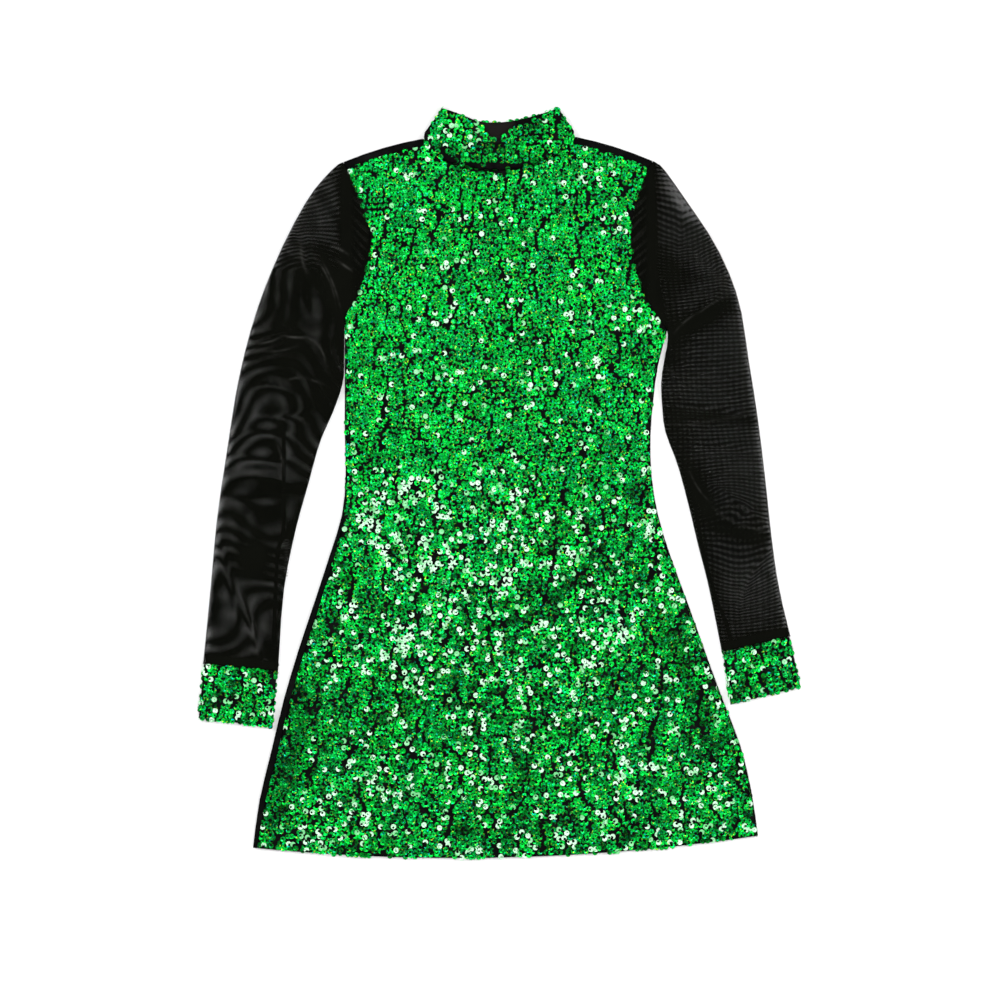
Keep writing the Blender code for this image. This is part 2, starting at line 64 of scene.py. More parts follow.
# The smooth side of a wall ends where its faces turn by more than this, and closer points are one
RIM_ANGLE = math.radians(50)
MERGE = 2e-5
OUTSIDE, INSIDE = 1, 2

# Edges are halved up to this many times, and down to the finer length beside the sleeves' crests:
# where a crest this many times as wide would still have this share of its strength
SPLIT_ROUNDS = 8
FINE_EDGE = 1.8 * MM
BESIDE_WIDTH = 4
BESIDE_SHARE = 0.2

# Longest edges of the back and the sleeves, as shares of the front's
BACK_EDGES = 2
SLEEVE_EDGES = 0.8

# Where the upper layer of a flattened tube begins, for relief that leaves the lower layer alone
RELIEF_START = 1.6 * MM
RELIEF_FULL = 2.6 * MM

# A soft stroke fades out this far from its middle, as a share of its length
STROKE_REACH = 0.8

# Soft creases that the solids leave out: x0 y0 x1 y1, a bow to one side, half width and rise
FRONT_CREASES = [
    (-150, 118, -112, 20, 5, 7, 0.9), (-140, -10, -120, -110, -6, 7, 1.0),
    (-90, 40, -60, -90, -8, 9, 0.8), (100, 20, 72, -60, 6, 6, -0.9),
    (145, -50, 84, -114, 0, 8, -0.9), (84, -114, -30, -156, 14, 8, -0.9),
    (60, -90, -10, -132, 12, 9, 0.7), (110, -200, 130, -330, 8, 10, 0.9),
    (-40, -200, -28, -350, -6, 11, 0.9), (-160, -230, -176, -360, 6, 10, 1.0),
    (214, -220, 244, -345, 5, 9, 0.9), (90, 250, 60, 130, -6, 9, 0.7),
    (-60, 260, -40, 140, 6, 10, 0.7), (120, 310, 136, 250, 4, 7, 0.9),
    (-128, 320, -112, 260, -4, 7, 0.9),
]
SLEEVE_CREASES = {
    "left": [
        (-221, 279, -207, 216, 4, 4, 0.9), (-207, 216, -203, 179, -2, 4, 1.0),
        (-252, 164, -200, 155, 4, 4, 0.9), (-267, 105, -223, 98, 4, 4, 0.9),
        (-262, 72, -196, 78, -4, 4, 0.8), (-280, 52, -214, 48, 4, 4, 0.8),
        (-286, 30, -222, 28, -4, 4, 0.8), (-289, 8, -226, 4, 4, 4, 0.8),
        (-292, -14, -232, -20, -3, 4, 0.7), (-289, -110, -262, -183, 4, 4, 0.9),
        (-306, -60, -286, -150, 4, 4, 0.7),
    ],
    "right": [
        (238, 210, 194, 169, 5, 4, -1.0), (207, 254, 248, 220, -4, 4, 1.0),
        (248, 220, 252, 207, 0, 4, 1.0), (177, 126, 198, 128, 2, 4, 0.9),
        (182, 80, 279, 62, 6, 4, 1.0), (208, 7, 291, -50, 6, 4, -0.9),
        (294, -69, 257, -144, -5, 4, 1.0), (206, 40, 270, 30, 4, 4, 0.8),
        (224, -60, 280, -20, -4, 4, 0.8), (196, 300, 190, 240, 3, 5, 0.8),
    ],
}

# Shade and light on the sequins: x0 y0 x1 y1, a bow, half width, and how much darker or lighter.
# Where it is darker than the limit the cloth is folded in and no sequin shows.
TONES = [
    (124, -56, 78, -110, 0, 6, -1.0), (98, -90, 50, -138, 0, 5.5, -0.9),
    (66, -126, -36, -158, 8, 5.5, -1.05), (30, -20, 120, -10, 0, 32, -0.35),
    (-125, -70, -55, -45, 0, 30, 0.3), (152, 22, 156, -30, 0, 14, -0.45),
    (66, 48, 102, 48, 0, 4, -0.5), (-140, 48, -140, 12, 0, 10, -0.6),
    (-165, -80, -168, -120, 0, 12, -0.6), (-200, -205, -250, -375, 0, 18, -0.7),
    (-160, -225, -175, -265, 0, 15, -0.5), (-97, -228, -97, -258, 0, 14, -0.8),
    (-53, -360, -30, -380, 0, 14, -0.6), (-236, -330, -252, -392, 0, 12, -0.35),
    (30, -365, 60, -385, 0, 12, -0.5), (25, -285, 10, -320, 4, 10, -0.5),
    (168, -125, 214, -225, 0, 12, -0.8), (210, -215, 232, -310, 0, 12, -0.8),
    (112, 26, 144, 48, 0, 9, -0.7), (140, 0, 146, -28, 0, 10, -0.6),
    (123, 160, 123, 136, 0, 10, -0.5), (155, 170, 157, 120, 0, 12, -0.5),
    (-140, 150, -136, 110, 0, 16, -0.4), (-21, 150, -17, 70, 2, 6, -0.4),
    (18, 80, 26, 40, 0, 6, -0.4), (11, 285, 13, 240, 0, 7, -0.35),
    (-84, 372, -46, 344, 2, 3, -1.5), (42, 345, 76, 367, -2, 3, -1.4),
    (-28, 361, 22, 359, 0, 9, -0.6), (-60, 353, 52, 353, 0, 14, -0.2),
    (64, 396, 74, 374, 0, 7, -0.7), (-48, 345, 37, 346, -8, 4.5, -1.9),
    (-6, 374, -4, 350, 0, 10, -0.55), (-40, 349, 34, 350, -6, 5, -0.5),
    (8, 389, 48, 384, 0, 4, -1.3), (-130, -3, -75, -3, 0, 12, 0.9),
    (-143, -40, -137, -70, 0, 10, 0.9), (-60, -72, -46, -90, 0, 11, 1.5),
    (-12, 2, -8, -14, 0, 7, 1.1), (-42, -22, -28, -42, 0, 9, 1.0), (8, -104, 40, -92, 3, 8, 1.1),
    (-12, -106, 4, -116, 0, 8, 0.9), (120, -150, 126, -178, 0, 9, 1.6),
    (-108, -160, -100, -185, 0, 10, 1.0), (-72, -150, -56, -158, 0, 8, 0.8),
    (55, -222, 104, -226, 0, 8, 0.9), (190, -338, 214, -342, 0, 9, 1.5),
    (130, -332, 150, -336, 0, 9, 0.9), (80, 12, 90, 8, 0, 7, 0.5),
    (-205, -372, -150, -385, 0, 9, 0.7), (-80, 345, -74, 378, 0, 8, 0.7),
    (-140, 210, -136, 180, 0, 8, 0.5),
]
FOLDED_IN = -1.15

# Thin lines of light on the crests of the sleeves' creases, in the same form
SLEEVE_CRESTS = {
    "left": [
        (-264, 150, -236, 157, -2, 0.9, 0.5), (-232, 158, -206, 157, -1, 0.9, 0.7),
        (-206, 157, -188, 130, 4, 0.9, 0.5), (-262, 143, -222, 146, -3, 0.9, 0.3),
        (-229, 110, -208, 112, 2, 0.9, 0.5), (-204, 111, -190, 106, 0, 0.9, 0.4),
        (-286, -108, -270, -150, 1, 0.9, 0.7), (-270, -150, -260, -184, 1, 0.9, 0.6),
        (-280, -112, -256, -178, 2, 0.9, 0.4), (-214, 262, -209, 228, -2, 1.2, 0.6),
        (-200, 244, -178, 200, 3, 0.9, 0.35), (-192, 240, -172, 190, 2, 0.9, 0.3),
        (-232, 74, -208, 62, 2, 0.9, 0.4), (-180, 256, -164, 247, 0, 1.2, 0.5),
        (-176, 240, -160, 229, 0, 1.2, 0.5), (-240, 42, -232, 10, 1, 0.9, 0.4),
    ],
    "right": [
        (226, 240, 243, 208, -2, 0.9, 0.28), (190, 163, 216, 184, 2, 0.9, 0.28),
        (218, 185, 246, 202, 1, 0.9, 0.33), (182, 63, 226, 66, -2, 0.9, 0.28),
        (230, 67, 278, 76, -1, 0.9, 0.22), (206, 10, 226, -20, -2, 0.9, 0.22),
        (230, -26, 262, -46, -3, 0.9, 0.22), (264, -47, 290, -52, -1, 0.9, 0.33),
        (293, -67, 276, -98, 2, 0.9, 0.33), (273, -100, 252, -124, 1, 0.9, 0.22),
        (176, 124, 190, 117, 1, 0.9, 0.22), (207, 25, 240, 32, 1, 0.9, 0.17),
    ],
}

# Where the sleeves' upper layer lies denser, or more open where the last number is negative
SLEEVE_DENSE = {
    "left": [
        (-180, 240, -166, 150, 0, 18, 1.0), (-165, 380, -167, 190, 0, 6, 1.6),
        (-172, 150, -190, 60, 0, 16, 0.7), (-285, -83, -248, -83, 0, 20, 1.4),
        (-205, 60, -236, -190, 0, 12, 0.5), (-225, 190, -215, 60, 0, 25, 0.4),
        (-236, 250, -190, 200, 0, 30, 0.35), (-240, 205, -228, 140, 0, 22, 0.4),
        (-262, 150, -215, 110, 0, 40, 0.2), (-290, -20, -230, -60, 0, 22, 0.3),
        (-196, 262, -170, 180, 0, 5, 0.8), (-325, -191, -235, -200, 0, 5, 2.5),
    ],
    "right": [
        (166, 200, 182, 120, 0, 18, 1.0), (163, 380, 166, 190, 0, 5, 1.6),
        (170, 236, 194, 206, 0, 12, 0.6), (182, 90, 200, 20, 0, 14, 0.4),
        (186, 158, 250, 196, 0, 9, 1.3), (166, 262, 214, 214, -4, 9, 0.5),
        (180, 74, 290, 66, 0, 5, 0.7), (200, 22, 232, -46, 0, 11, 1.1),
        (232, -46, 292, -60, -3, 8, 0.9), (196, 0, 240, -150, 0, 12, 0.4),
        (255, -90, 280, -140, 0, 25, -0.2), (178, 334, 214, 280, -3, 6, -1.5),
        (262, 250, 276, 170, -2, 5, -0.4), (240, -178, 320, -160, 0, 5, 2.5),
    ],
}

# How the upper layer lies against the lower one: stretch across and along, turn, arc of its bands,
# crimp towards the shoulder, and how far it wanders
SLIPS = {
    "left": (0.012, 0.05, 0.0, 1.1, 0.17, 0.5),
    "right": (0.2, 0.26, 0.015, 0.0, 0.0, 0.2),
}

# Distance from one hole of the power mesh to the next
MESH_PITCH = 1.15 * MM

# Rings in the bands: x, y, radius and how many holes the upper layer slips from rim to middle
SWIRLS = {
    "left": [(-214, 252, 34, -2.5), (-262, -30, 40, 1.2)],
    "right": [(196, 262, 46, 5.0), (262, -100, 40, 4.0), (246, -20, 26, -2.0)],
}

# Where faint bands of the sleeve heads show on the knit, and where it is paler inside the collar:
# x, y and two radii in plan
HEAD_BANDS = [(-153, 285, 13, 62), (152, 280, 12, 70)]
COLLAR_INSIDE = [(-6, 386, 26, 22)]

# The seams under the arms, which have turned to the front, from the armhole to the cuff
ARM_SEAMS = {
    "left": [(-233, 64), (-233, -20), (-234, -56), (-239, -74), (-242, -120), (-243, -172), (-240, -198)],
    "right": [(205, 10), (212, -30), (219, -69), (226, -100), (235, -128), (244, -150), (250, -172)],
}

# The seam allowances inside the wrists, from the outer fold to the inner one
WRIST_SEAMS = {
    "left": [(-317, -191), (-280, -194), (-242, -199)],
    "right": [(311, -162), (276, -169), (242, -178)],
}

# Overlock loops that show on the left sleeve's inner edge
EDGE_STITCHES = [(-229.5, -62), (-230.5, -100), (-233, -140), (-233.5, -178)]

# Thickness of the sleeves' wall in the solids
SLEEVE_WALL = 1.0 * MM

# How often sequins flash, from the hem (0) to the collar's top (1), as multiples of the usual share,
# and the value that a ramp's full white stands for
GLINT_SHARES = [(0.0, 3.6), (0.28, 3.2), (0.32, 4.9), (0.46, 4.7), (0.54, 1.6), (0.9, 1.5), (0.95, 1.5),
                (0.965, 4.4)]
FULL_WHITE = 5.0
HEM_TO_COLLAR = (-0.41, 0.41)

# The front's sequins in stretches: name, lowest and highest Y
FRONT_BANDS = [
    ("front_sequins_hem", -1.0, -0.27),
    ("front_sequins_skirt", -0.27, -0.11),
    ("front_sequins_waist", -0.11, 0.08),
    ("front_sequins_chest", 0.08, 1.0),
]

# Rows of sequins wander: how many waves to a metre, and how far
ROW_WAVES = [(24.0, 3.4 * MM), (85.0, 1.3 * MM)]

# Groups of sequins to a metre across and along, the waves in them, and how much less they draw
# together along the dress than across it
SEQUIN_GROUPS = (52.0, 33.0)
GROUP_WAVES = (40.0, 0.55)
GROUP_PULL = 0.35

# One cup sequin, 1 across: facets, and the radius and height of its hole, fold and rim
CUP_SIDES = 8
CUP_RINGS = [(0.035, 0.0), (0.27, 0.01), (0.5, 0.05)]

# How far a sequin is lifted off its cloth, in diameters: at least, at random, and more if it flashes
LEAST_LIFT, RANDOM_LIFT, FLASH_LIFT = 0.02, 0.1, 0.2

# Factors that make unlike random numbers of rows' places and of sequins' shades
ROW_SCATTER = 977.0
FLECK_SCATTER = 517.0

# Where a cloth leans so far that its normal has less Z than this, sequins are sewn round its side.
# So many points to a square metre are tried there that their spacing alone decides.
SIDE_FACING = 0.72
SIDE_TRIES = 200000.0

# Sequins and stitches are dropped on the cloth from this height, along a ray of this length
DROP_HEIGHT = 50 * MM
DROP_LENGTH = 0.2

# The sequins' grid is wider and longer than its cloth by this
GRID_MARGIN = 20 * MM

# How the sleeves' upper layer lies on the lower one, in millimetres: the height where it begins and
# the depth over which it comes in, the Y above which its bands crowd, and how far in they arc from
LAYER_START, LAYER_DEPTH = 0.6, 2.0
CROWDED_ABOVE = 230
ARC_MIDDLE = 45

# How many holes a crease shifts it, and its long waves: lengths across and along, and their start
CREASE_SHIFT = 0.8
WANDER = [(23, 31, 1.0), (17, -41, 2.3), (47, 19, 4.1)]

# A sleeve's outer fold is found in this many slices
SLICES = 39

# Seams inside the sleeves: their height and depths, the wrists' width, and steps between two points
SEAM_HEIGHT = 0.7 * MM
ARM_SEAM_DEPTH = 0.5 * MM
WRIST_SEAM_DEPTH = 1.5 * MM
WRIST_SEAM_WIDTH = 9.0 * MM
PATH_STEPS = 6

# Half the length and half the thickness of a loop of thread, 1 long across its seam
LOOP_HALF, LOOP_THIN = 0.5, 0.07

# The bands' flat width, length and area, and how far their rows of sequins are turned
BANDS = {
    "collar": (0.33, 0.06, 0.0135, 0.0),
    "cuff_left": (0.166, 0.062, 0.0100, math.radians(-6)),
    "cuff_right": (0.16, 0.06, 0.0091, math.radians(13)),
}

# The sleeves' flat areas
SLEEVE_AREAS = {"left": 0.0945, "right": 0.0845}

# The flecks are the holographic foil's fine pattern with painted sparkle and facet shade
# Rarer flecks on the sequins: where each begins, as a share of all flecks, and its colour
SPARKLE_FLECKS = [(0.92, (0.0, 0.7, 0.7)), (0.945, (0.75, 0.95, 0.01)), (0.958, (0.8, 0.5, 0.02)),
          (0.962, (0.05, 0.95, 0.3))]

# Colours that a user has no need to change, as linear values
HEAD_TINT = (0.085, 0.085, 0.075)
COLLAR_TINT = (0.011, 0.0095, 0.009)
# Painted sheen on the crests of the sleeves' creases
CREST_SHEEN_TINT = (0.05, 0.05, 0.045)
SHADED_GREEN = (0.0, 0.34, 0.05)
PALE_GLINT = (0.8, 1.0, 0.84)
GREEN_GLINT = (0.2, 0.6, 0.28)
DIM_GLINT = (0.08, 0.55, 0.15)
HOLE_TINT = (0.0, 0.16, 0.035)
GLINT_HOLE_TINT = (0.02, 0.34, 0.09)
SEAM_TINTS = ((0.002, 0.002, 0.002), (0.006, 0.006, 0.006))
THREAD_TINTS = ((0.008, 0.008, 0.007), (0.04, 0.04, 0.036))

# The stage: its lamps' names, places, sizes and powers, and the floor, a little under the dress
LAMPS = [
    ("softbox_over", (0.0, 0.3, 2.6), 0.7, 26.0),
    ("softbox_left", (-2.2, 0.8, 1.5), 1.1, 34.0),
    ("softbox_right", (2.2, 0.4, 1.6), 1.1, 30.0),
    ("softbox_front", (0.3, -2.4, 1.6), 1.0, 26.0),
]
FLOOR_UNDER = -0.3 * MM
FLOOR_HALF = 6.0
FARTHEST_SEEN = 50.0


class DressCloth(bpy.types.PropertyGroup):
    """Sizes of the cloth, its sequins and its seams."""

    sequin_room: bpy.props.FloatProperty(
        name="Sequin layer", description="Depth left over the knit for the sequins",
        default=1.3 * MM, min=0.0, unit="LENGTH")
    mesh_thickness: bpy.props.FloatProperty(
        name="Sleeve mesh", description="Thickness of the sleeves' power mesh",
        default=0.3 * MM, min=0.2 * MM, unit="LENGTH")
    longest_edge: bpy.props.FloatProperty(
        name="Mesh size", description="Longest edge of the cloth's mesh",
        default=7.0 * MM, min=2.0 * MM, unit="LENGTH")
    tone_edge: bpy.props.FloatProperty(
        name="Tone size", description="Longest edge of the mesh that carries the tones to the sequins",
        default=4.0 * MM, min=1.0 * MM, unit="LENGTH")
    sequin_diameter: bpy.props.FloatProperty(
        name="Sequin diameter", description="Diameter of one cup sequin",
        default=6.0 * MM, min=1.0 * MM, unit="LENGTH")
    sequin_spacing: bpy.props.FloatProperty(
        name="Sequin spacing", description="Distance along a row from one sequin's middle to the next",
        default=5.3 * MM, min=1.0 * MM, unit="LENGTH")
    row_spacing: bpy.props.FloatProperty(
        name="Row spacing", description="Distance from one row of sequins to the next",
        default=4.8 * MM, min=1.0 * MM, unit="LENGTH")
    sequin_tilt: bpy.props.FloatProperty(
        name="Sequin tilt", description="How far a sequin may tip on its thread",
        default=math.radians(9), min=0.0, subtype="ANGLE")
    gap_width: bpy.props.FloatProperty(
        name="Gaps", description="Width of the bare lines between groups of sequins, as a share of a group",
        default=0.17, min=0.0, max=0.5)
    missing: bpy.props.FloatProperty(
        name="Missing", description="Share of sequins left out of the rows",
        default=0.012, min=0.0, max=1.0)
    glint_share: bpy.props.FloatProperty(
        name="Glints", description="Share of sequins that flash white, away from the waist and hem",
        default=0.045, min=0.0, max=1.0)
    seed: bpy.props.IntProperty(
        name="Seed", description="Changes how the sequins fall", default=7)
    seam_allowance: bpy.props.FloatProperty(
        name="Seam allowance", description="Width of the seam allowances inside the sleeves",
        default=4.0 * MM, min=1.0 * MM, unit="LENGTH")
    stitch_pitch: bpy.props.FloatProperty(
        name="Stitch pitch", description="Distance from one overlock loop to the next",
        default=3.2 * MM, min=0.5 * MM, unit="LENGTH")
    stitch_length: bpy.props.FloatProperty(
        name="Stitch length", description="Length of one overlock loop across its seam",
        default=4.0 * MM, min=0.5 * MM, unit="LENGTH")


class DressColours(bpy.types.PropertyGroup):
    """Colours of the cloth and sequins, as linear values."""

    leaf: bpy.props.FloatVectorProperty(
        name="Green", description="Main colour of the sequins", subtype="COLOR",
        default=(0.001, 0.54, 0.03), min=0.0, max=1.0)
    # The deep and bright greens colour the flecks: painted facet shade and sparkle on the foil
    deep: bpy.props.FloatVectorProperty(
        name="Deep green", description="Darker colour of the sequins", subtype="COLOR",
        default=(0.0, 0.11, 0.012), min=0.0, max=1.0)
    bright: bpy.props.FloatVectorProperty(
        name="Bright green", description="Lighter colour of the sequins", subtype="COLOR",
        default=(0.002, 0.9, 0.075), min=0.0, max=1.0)
    glint: bpy.props.FloatVectorProperty(
        name="Glint", description="Colour of the sequins that flash", subtype="COLOR",
        default=(0.5, 0.86, 0.56), min=0.0, max=1.0)
    knit: bpy.props.FloatVectorProperty(
        name="Knit", description="Colour of the stretch knit", subtype="COLOR",
        default=(0.003, 0.003, 0.003), min=0.0, max=1.0)
    mesh: bpy.props.FloatVectorProperty(
        name="Mesh", description="Colour of the sleeves' power mesh", subtype="COLOR",
        default=(0.0016, 0.0018, 0.0011), min=0.0, max=1.0)


class DressStage(bpy.types.PropertyGroup):
    """Sizes and lights of the stage."""

    view_width: bpy.props.FloatProperty(
        name="View width", description="Width of the floor that the camera takes in",
        default=1.08, min=0.1, unit="LENGTH")
    view_height: bpy.props.FloatProperty(
        name="Camera height", description="Height of the camera over the floor",
        default=4.0, min=1.0, unit="LENGTH")
    view_x: bpy.props.FloatProperty(
        name="Camera X", description="Place of the camera across", default=0.54 * MM, unit="LENGTH")
    view_y: bpy.props.FloatProperty(
        name="Camera Y", description="Place of the camera along", default=-18.9 * MM, unit="LENGTH")
    floor_colour: bpy.props.FloatVectorProperty(
        name="Floor", description="Colour of the floor", subtype="COLOR",
        default=(0.93, 0.93, 0.93), min=0.0, max=1.0)
    sky: bpy.props.FloatProperty(
        name="Fill light", description="Strength of the even light from all round", default=0.45, min=0.0)
    lamps: bpy.props.FloatProperty(
        name="Lamps", description="Strength of the softboxes", default=1.0, min=0.0)


def new_object(name, data):
    """An object with its data, linked into the scene."""
    made = bpy.data.objects.new(name, data)
    bpy.context.collection.objects.link(made)
    return made


def scaled(colour, factor):
    """A colour made lighter or darker by a factor."""
    return tuple(factor * value for value in colour)


def strokes(rows, x, y):
    """What a table's soft strokes add up to at each point. Places are in millimetres."""
    total = np.zeros(len(x))
    for x0, y0, x1, y1, bow, width, strength in rows:
        length = math.hypot(x1 - x0, y1 - y0)
        ux, uy = (x1 - x0) / length, (y1 - y0) / length
        along = ((x - x0) * ux + (y - y0) * uy) / length
        across = (y - y0) * ux - (x - x0) * uy - bow * 4 * along * (1 - along)
        from_middle = np.clip(along - 0.5, -STROKE_REACH, STROKE_REACH)
        taper = np.cos(from_middle * math.pi / (2 * STROKE_REACH)) ** 2
        total += strength * taper * np.exp(-((across / width) ** 2))
    return total


def smooth_sides(mesh):
    """The faces of a wall's two smooth sides, the outer and larger one first."""
    left = set(mesh.faces)
    sides = []
    while left:
        start = next(iter(left))
        stack, found, area = [start], {start}, 0.0
        while stack:
            face = stack.pop()
            area += face.calc_area()
            for edge in face.edges:
                if edge.calc_face_angle(math.pi) > RIM_ANGLE:
                    continue
                for beside in edge.link_faces:
                    if beside not in found:
                        found.add(beside)
                        stack.append(beside)
        left -= found
        sides.append((area, len(sides), found))
    sides.sort(key=lambda side: side[0], reverse=True)
    return sides[0][2], sides[1][2]


def split_long_edges(mesh, longest, crests=()):
    """Halve edges of the upper layer until none is longer than the limit, or than a finer one beside
    the crests."""
    fine = FINE_EDGE if crests else longest
    wide = [(*row[:5], BESIDE_WIDTH * row[5], 1.0) for row in crests]
    for _ in range(SPLIT_ROUNDS):
        edges = [edge for edge in mesh.edges if is_upper(edge) and edge.calc_length() > fine]
        if not edges:
            return
        middles = np.array([(edge.verts[0].co + edge.verts[1].co) / 2 for edge in edges]) / MM
        beside = strokes(wide, middles[:, 0], middles[:, 1]) > BESIDE_SHARE
        long_edges = [edge for edge, near in zip(edges, beside) if near or edge.calc_length() > longest]
        if not long_edges:
            return
        bmesh.ops.subdivide_edges(mesh, edges=long_edges, cuts=1)
        bmesh.ops.triangulate(mesh, faces=[face for face in mesh.faces if len(face.verts) > 3])


def is_upper(edge):
    """Whether an edge lies wholly in the upper layer."""
    return min(vert.co.z for vert in edge.verts) > RELIEF_START


def wall_copy(node, longest, crests=()):
    """A copy of a node's wall as a fine mesh, with its sides marked: 1 outside and 2 inside."""
    mesh = bmesh.new()
    mesh.from_mesh(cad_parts[node].data)
    bmesh.ops.remove_doubles(mesh, verts=mesh.verts, dist=MERGE)
    mark = mesh.faces.layers.int.new("side")
    for number, faces in enumerate(smooth_sides(mesh), start=OUTSIDE):
        for face in faces:
            face[mark] = number
    split_long_edges(mesh, longest, crests)
    return mesh, mark


def side_normals(mesh, mark, side):
    """One side's own normal at each of its points, so that a rim's faces don't tip it."""
    normals = {}
    for face in mesh.faces:
        if face[mark] == side:
            for vert in face.verts:
                normals[vert] = normals.get(vert, Vector()) + face.normal * face.calc_area()
    return {vert: normal.normalized() for vert, normal in normals.items()}


def soften(mesh, rounds=3):
    """Round off the solid's coarse folds, with the rims held."""
    held = set()
    for edge in mesh.edges:
        if edge.calc_face_angle(math.pi) > RIM_ANGLE:
            held.update(edge.verts)
    free = [vert for vert in mesh.verts if vert not in held and vert.co.z > RELIEF_START]
    for _ in range(rounds):
        moved = {}
        for vert in free:
            near = [edge.other_vert(vert).co.z for edge in vert.link_edges]
            moved[vert] = 0.5 * vert.co.z + 0.5 * sum(near) / len(near)
        for vert, z in moved.items():
            vert.co.z = z


def raise_creases(mesh, creases):
    """Press the soft creases into the upper layer, through the wall's whole thickness."""
    verts = list(mesh.verts)
    place = np.array([vert.co for vert in verts])
    share = np.clip((place[:, 2] - RELIEF_START) / (RELIEF_FULL - RELIEF_START), 0, 1)
    rise = share * MM * strokes(creases, place[:, 0] / MM, place[:, 1] / MM)
    for vert, height in zip(verts, rise):
        vert.co.z += height


def move_side(mesh, mark, side, depth):
    """Move one side of a wall into it by a depth."""
    for vert, normal in side_normals(mesh, mark, side).items():
        vert.co -= normal * depth


def keep_outside(mesh):
    """Drop all but the outer side of a wall."""
    mark = mesh.faces.layers.int["side"]
    rest = [face for face in mesh.faces if face[mark] != OUTSIDE]
    bmesh.ops.delete(mesh, geom=rest, context="FACES")


def finished(name, mesh, material):
    """Turn a mesh into a piece of the dress."""
    data = bpy.data.meshes.new(name)
    mesh.to_mesh(data)
    mesh.free()
    data.shade_smooth()
    data.set_sharp_from_angle(angle=RIM_ANGLE)
    data.materials.append(material)
    return new_object(name, data)


def on_dress(piece):
    """Put a piece on the dress's only body."""
    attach(piece, BODY)
    return piece


class Nodes:
    """A short way to build a node tree: each call adds a node and links or sets its inputs."""

    def __init__(self, tree):
        self.tree = tree

    def add(self, kind, inputs=None, **settings):
        """A node with its settings, and its inputs by their names."""
        node = self.tree.nodes.new(kind)
        for key, value in settings.items():
            setattr(node, key, value)
        for key, value in (inputs or {}).items():
            self.feed(node, key, value)
        return node

    def feed(self, node, key, value):
        """Link an input to another node, or set its value."""
        socket = node.inputs[key]
        if isinstance(value, bpy.types.NodeSocket):
            self.tree.links.new(value, socket)
        else:
            socket.default_value = value

    def math(self, operation, *values):
        """An operation on one or two numbers."""
        node = self.add("ShaderNodeMath", operation=operation)
        for index, value in enumerate(values):
            self.feed(node, index, value)
        return node.outputs[0]

    plus = partialmethod(math, "ADD")
    minus = partialmethod(math, "SUBTRACT")
    times = partialmethod(math, "MULTIPLY")

    def vector(self, operation, *values, output=0):
        """An operation on vectors."""
        node = self.add("ShaderNodeVectorMath", operation=operation)
        for index, value in enumerate(values):
            self.feed(node, index, value)
        return node.outputs[output]

    def parts(self, vector):
        """A vector's X, Y and Z."""
        return self.add("ShaderNodeSeparateXYZ", {"Vector": vector}).outputs

    def joined(self, x=0.0, y=0.0, z=0.0):
        """A vector made of three numbers."""
        return self.add("ShaderNodeCombineXYZ", {"X": x, "Y": y, "Z": z}).outputs[0]

    def stored(self, label):
        """A value that is stored on a mesh, for its material."""
        return self.add("ShaderNodeAttribute", attribute_name=label).outputs

    def noise(self, vector, scale, detail=2.0, output="Fac"):
        """Soft noise."""
        return self.add("ShaderNodeTexNoise", {
            "Vector": vector, "Scale": scale, "Detail": detail}).outputs[output]

    def waves(self, vector, scale, distortion, direction, detail=1.0, detail_scale=1.0):
        """Bands across one direction."""
        return self.add("ShaderNodeTexWave", {
            "Vector": vector, "Scale": scale, "Distortion": distortion, "Detail": detail,
            "Detail Scale": detail_scale}, wave_type="BANDS", bands_direction=direction).outputs["Fac"]

    def slope(self, value, low, high, start=0.0, end=1.0, kind="LINEAR"):
        """A value that goes evenly from start to end as another goes from low to high."""
        return self.add("ShaderNodeMapRange", {
            "Value": value, "From Min": low, "From Max": high, "To Min": start, "To Max": end,
        }, interpolation_type=kind).outputs["Result"]

    def step(self, *values):
        """The same as a slope, but soft at both ends."""
        return self.slope(*values, kind="SMOOTHSTEP")

    def ramp(self, value, stops, kind="LINEAR"):
        """A colour from a list of places and colours."""
        node = self.add("ShaderNodeValToRGB", {"Fac": value})
        node.color_ramp.interpolation = kind
        points = node.color_ramp.elements
        points[0].position, points[-1].position = stops[0][0], stops[-1][0]
        for place, _ in stops[1:-1]:
            points.new(place)
        for point, (_, colour) in zip(points, stops):
            point.color = (*colour, 1.0)
        return node.outputs["Color"]

    def blend(self, share, first, second, mode="MIX"):
        """Two colours mixed by a share. The node's sockets go by number, since their names repeat."""
        node = self.add("ShaderNodeMix", data_type="RGBA", blend_type=mode)
        for index, value in ((0, share), (6, first), (7, second)):
            if isinstance(value, tuple):
                value = (*value, 1.0)
            self.feed(node, index, value)
        return node.outputs[2]

    def bumps(self, shader, height, strength, distance):
        """Fine relief on a material."""
        bump = self.add("ShaderNodeBump", {"Height": height, "Strength": strength, "Distance": distance})
        self.feed(shader, "Normal", bump.outputs["Normal"])


def new_material(name, **constants):
    """A material with its constants set, a helper to build the rest, its shader and its points' place."""
    material = bpy.data.materials.new(name)
    material.use_nodes = True
    shader = material.node_tree.nodes["Principled BSDF"]
    for key, value in constants.items():
        shader.inputs[key.replace("_", " ")].default_value = value
    nodes = Nodes(material.node_tree)
    place = nodes.add("ShaderNodeTexCoord").outputs["Object"]
    return material, nodes, shader, place


def colours():
    """The colours that the panel shows."""
    return bpy.context.scene.dress_colours


def cloth():
    """The sizes that the panel shows."""
    return bpy.context.scene.dress_cloth


def once(name, build):
    """A material by its name, built the first time that it is asked for."""
    return bpy.data.materials.get(name) or build(name)


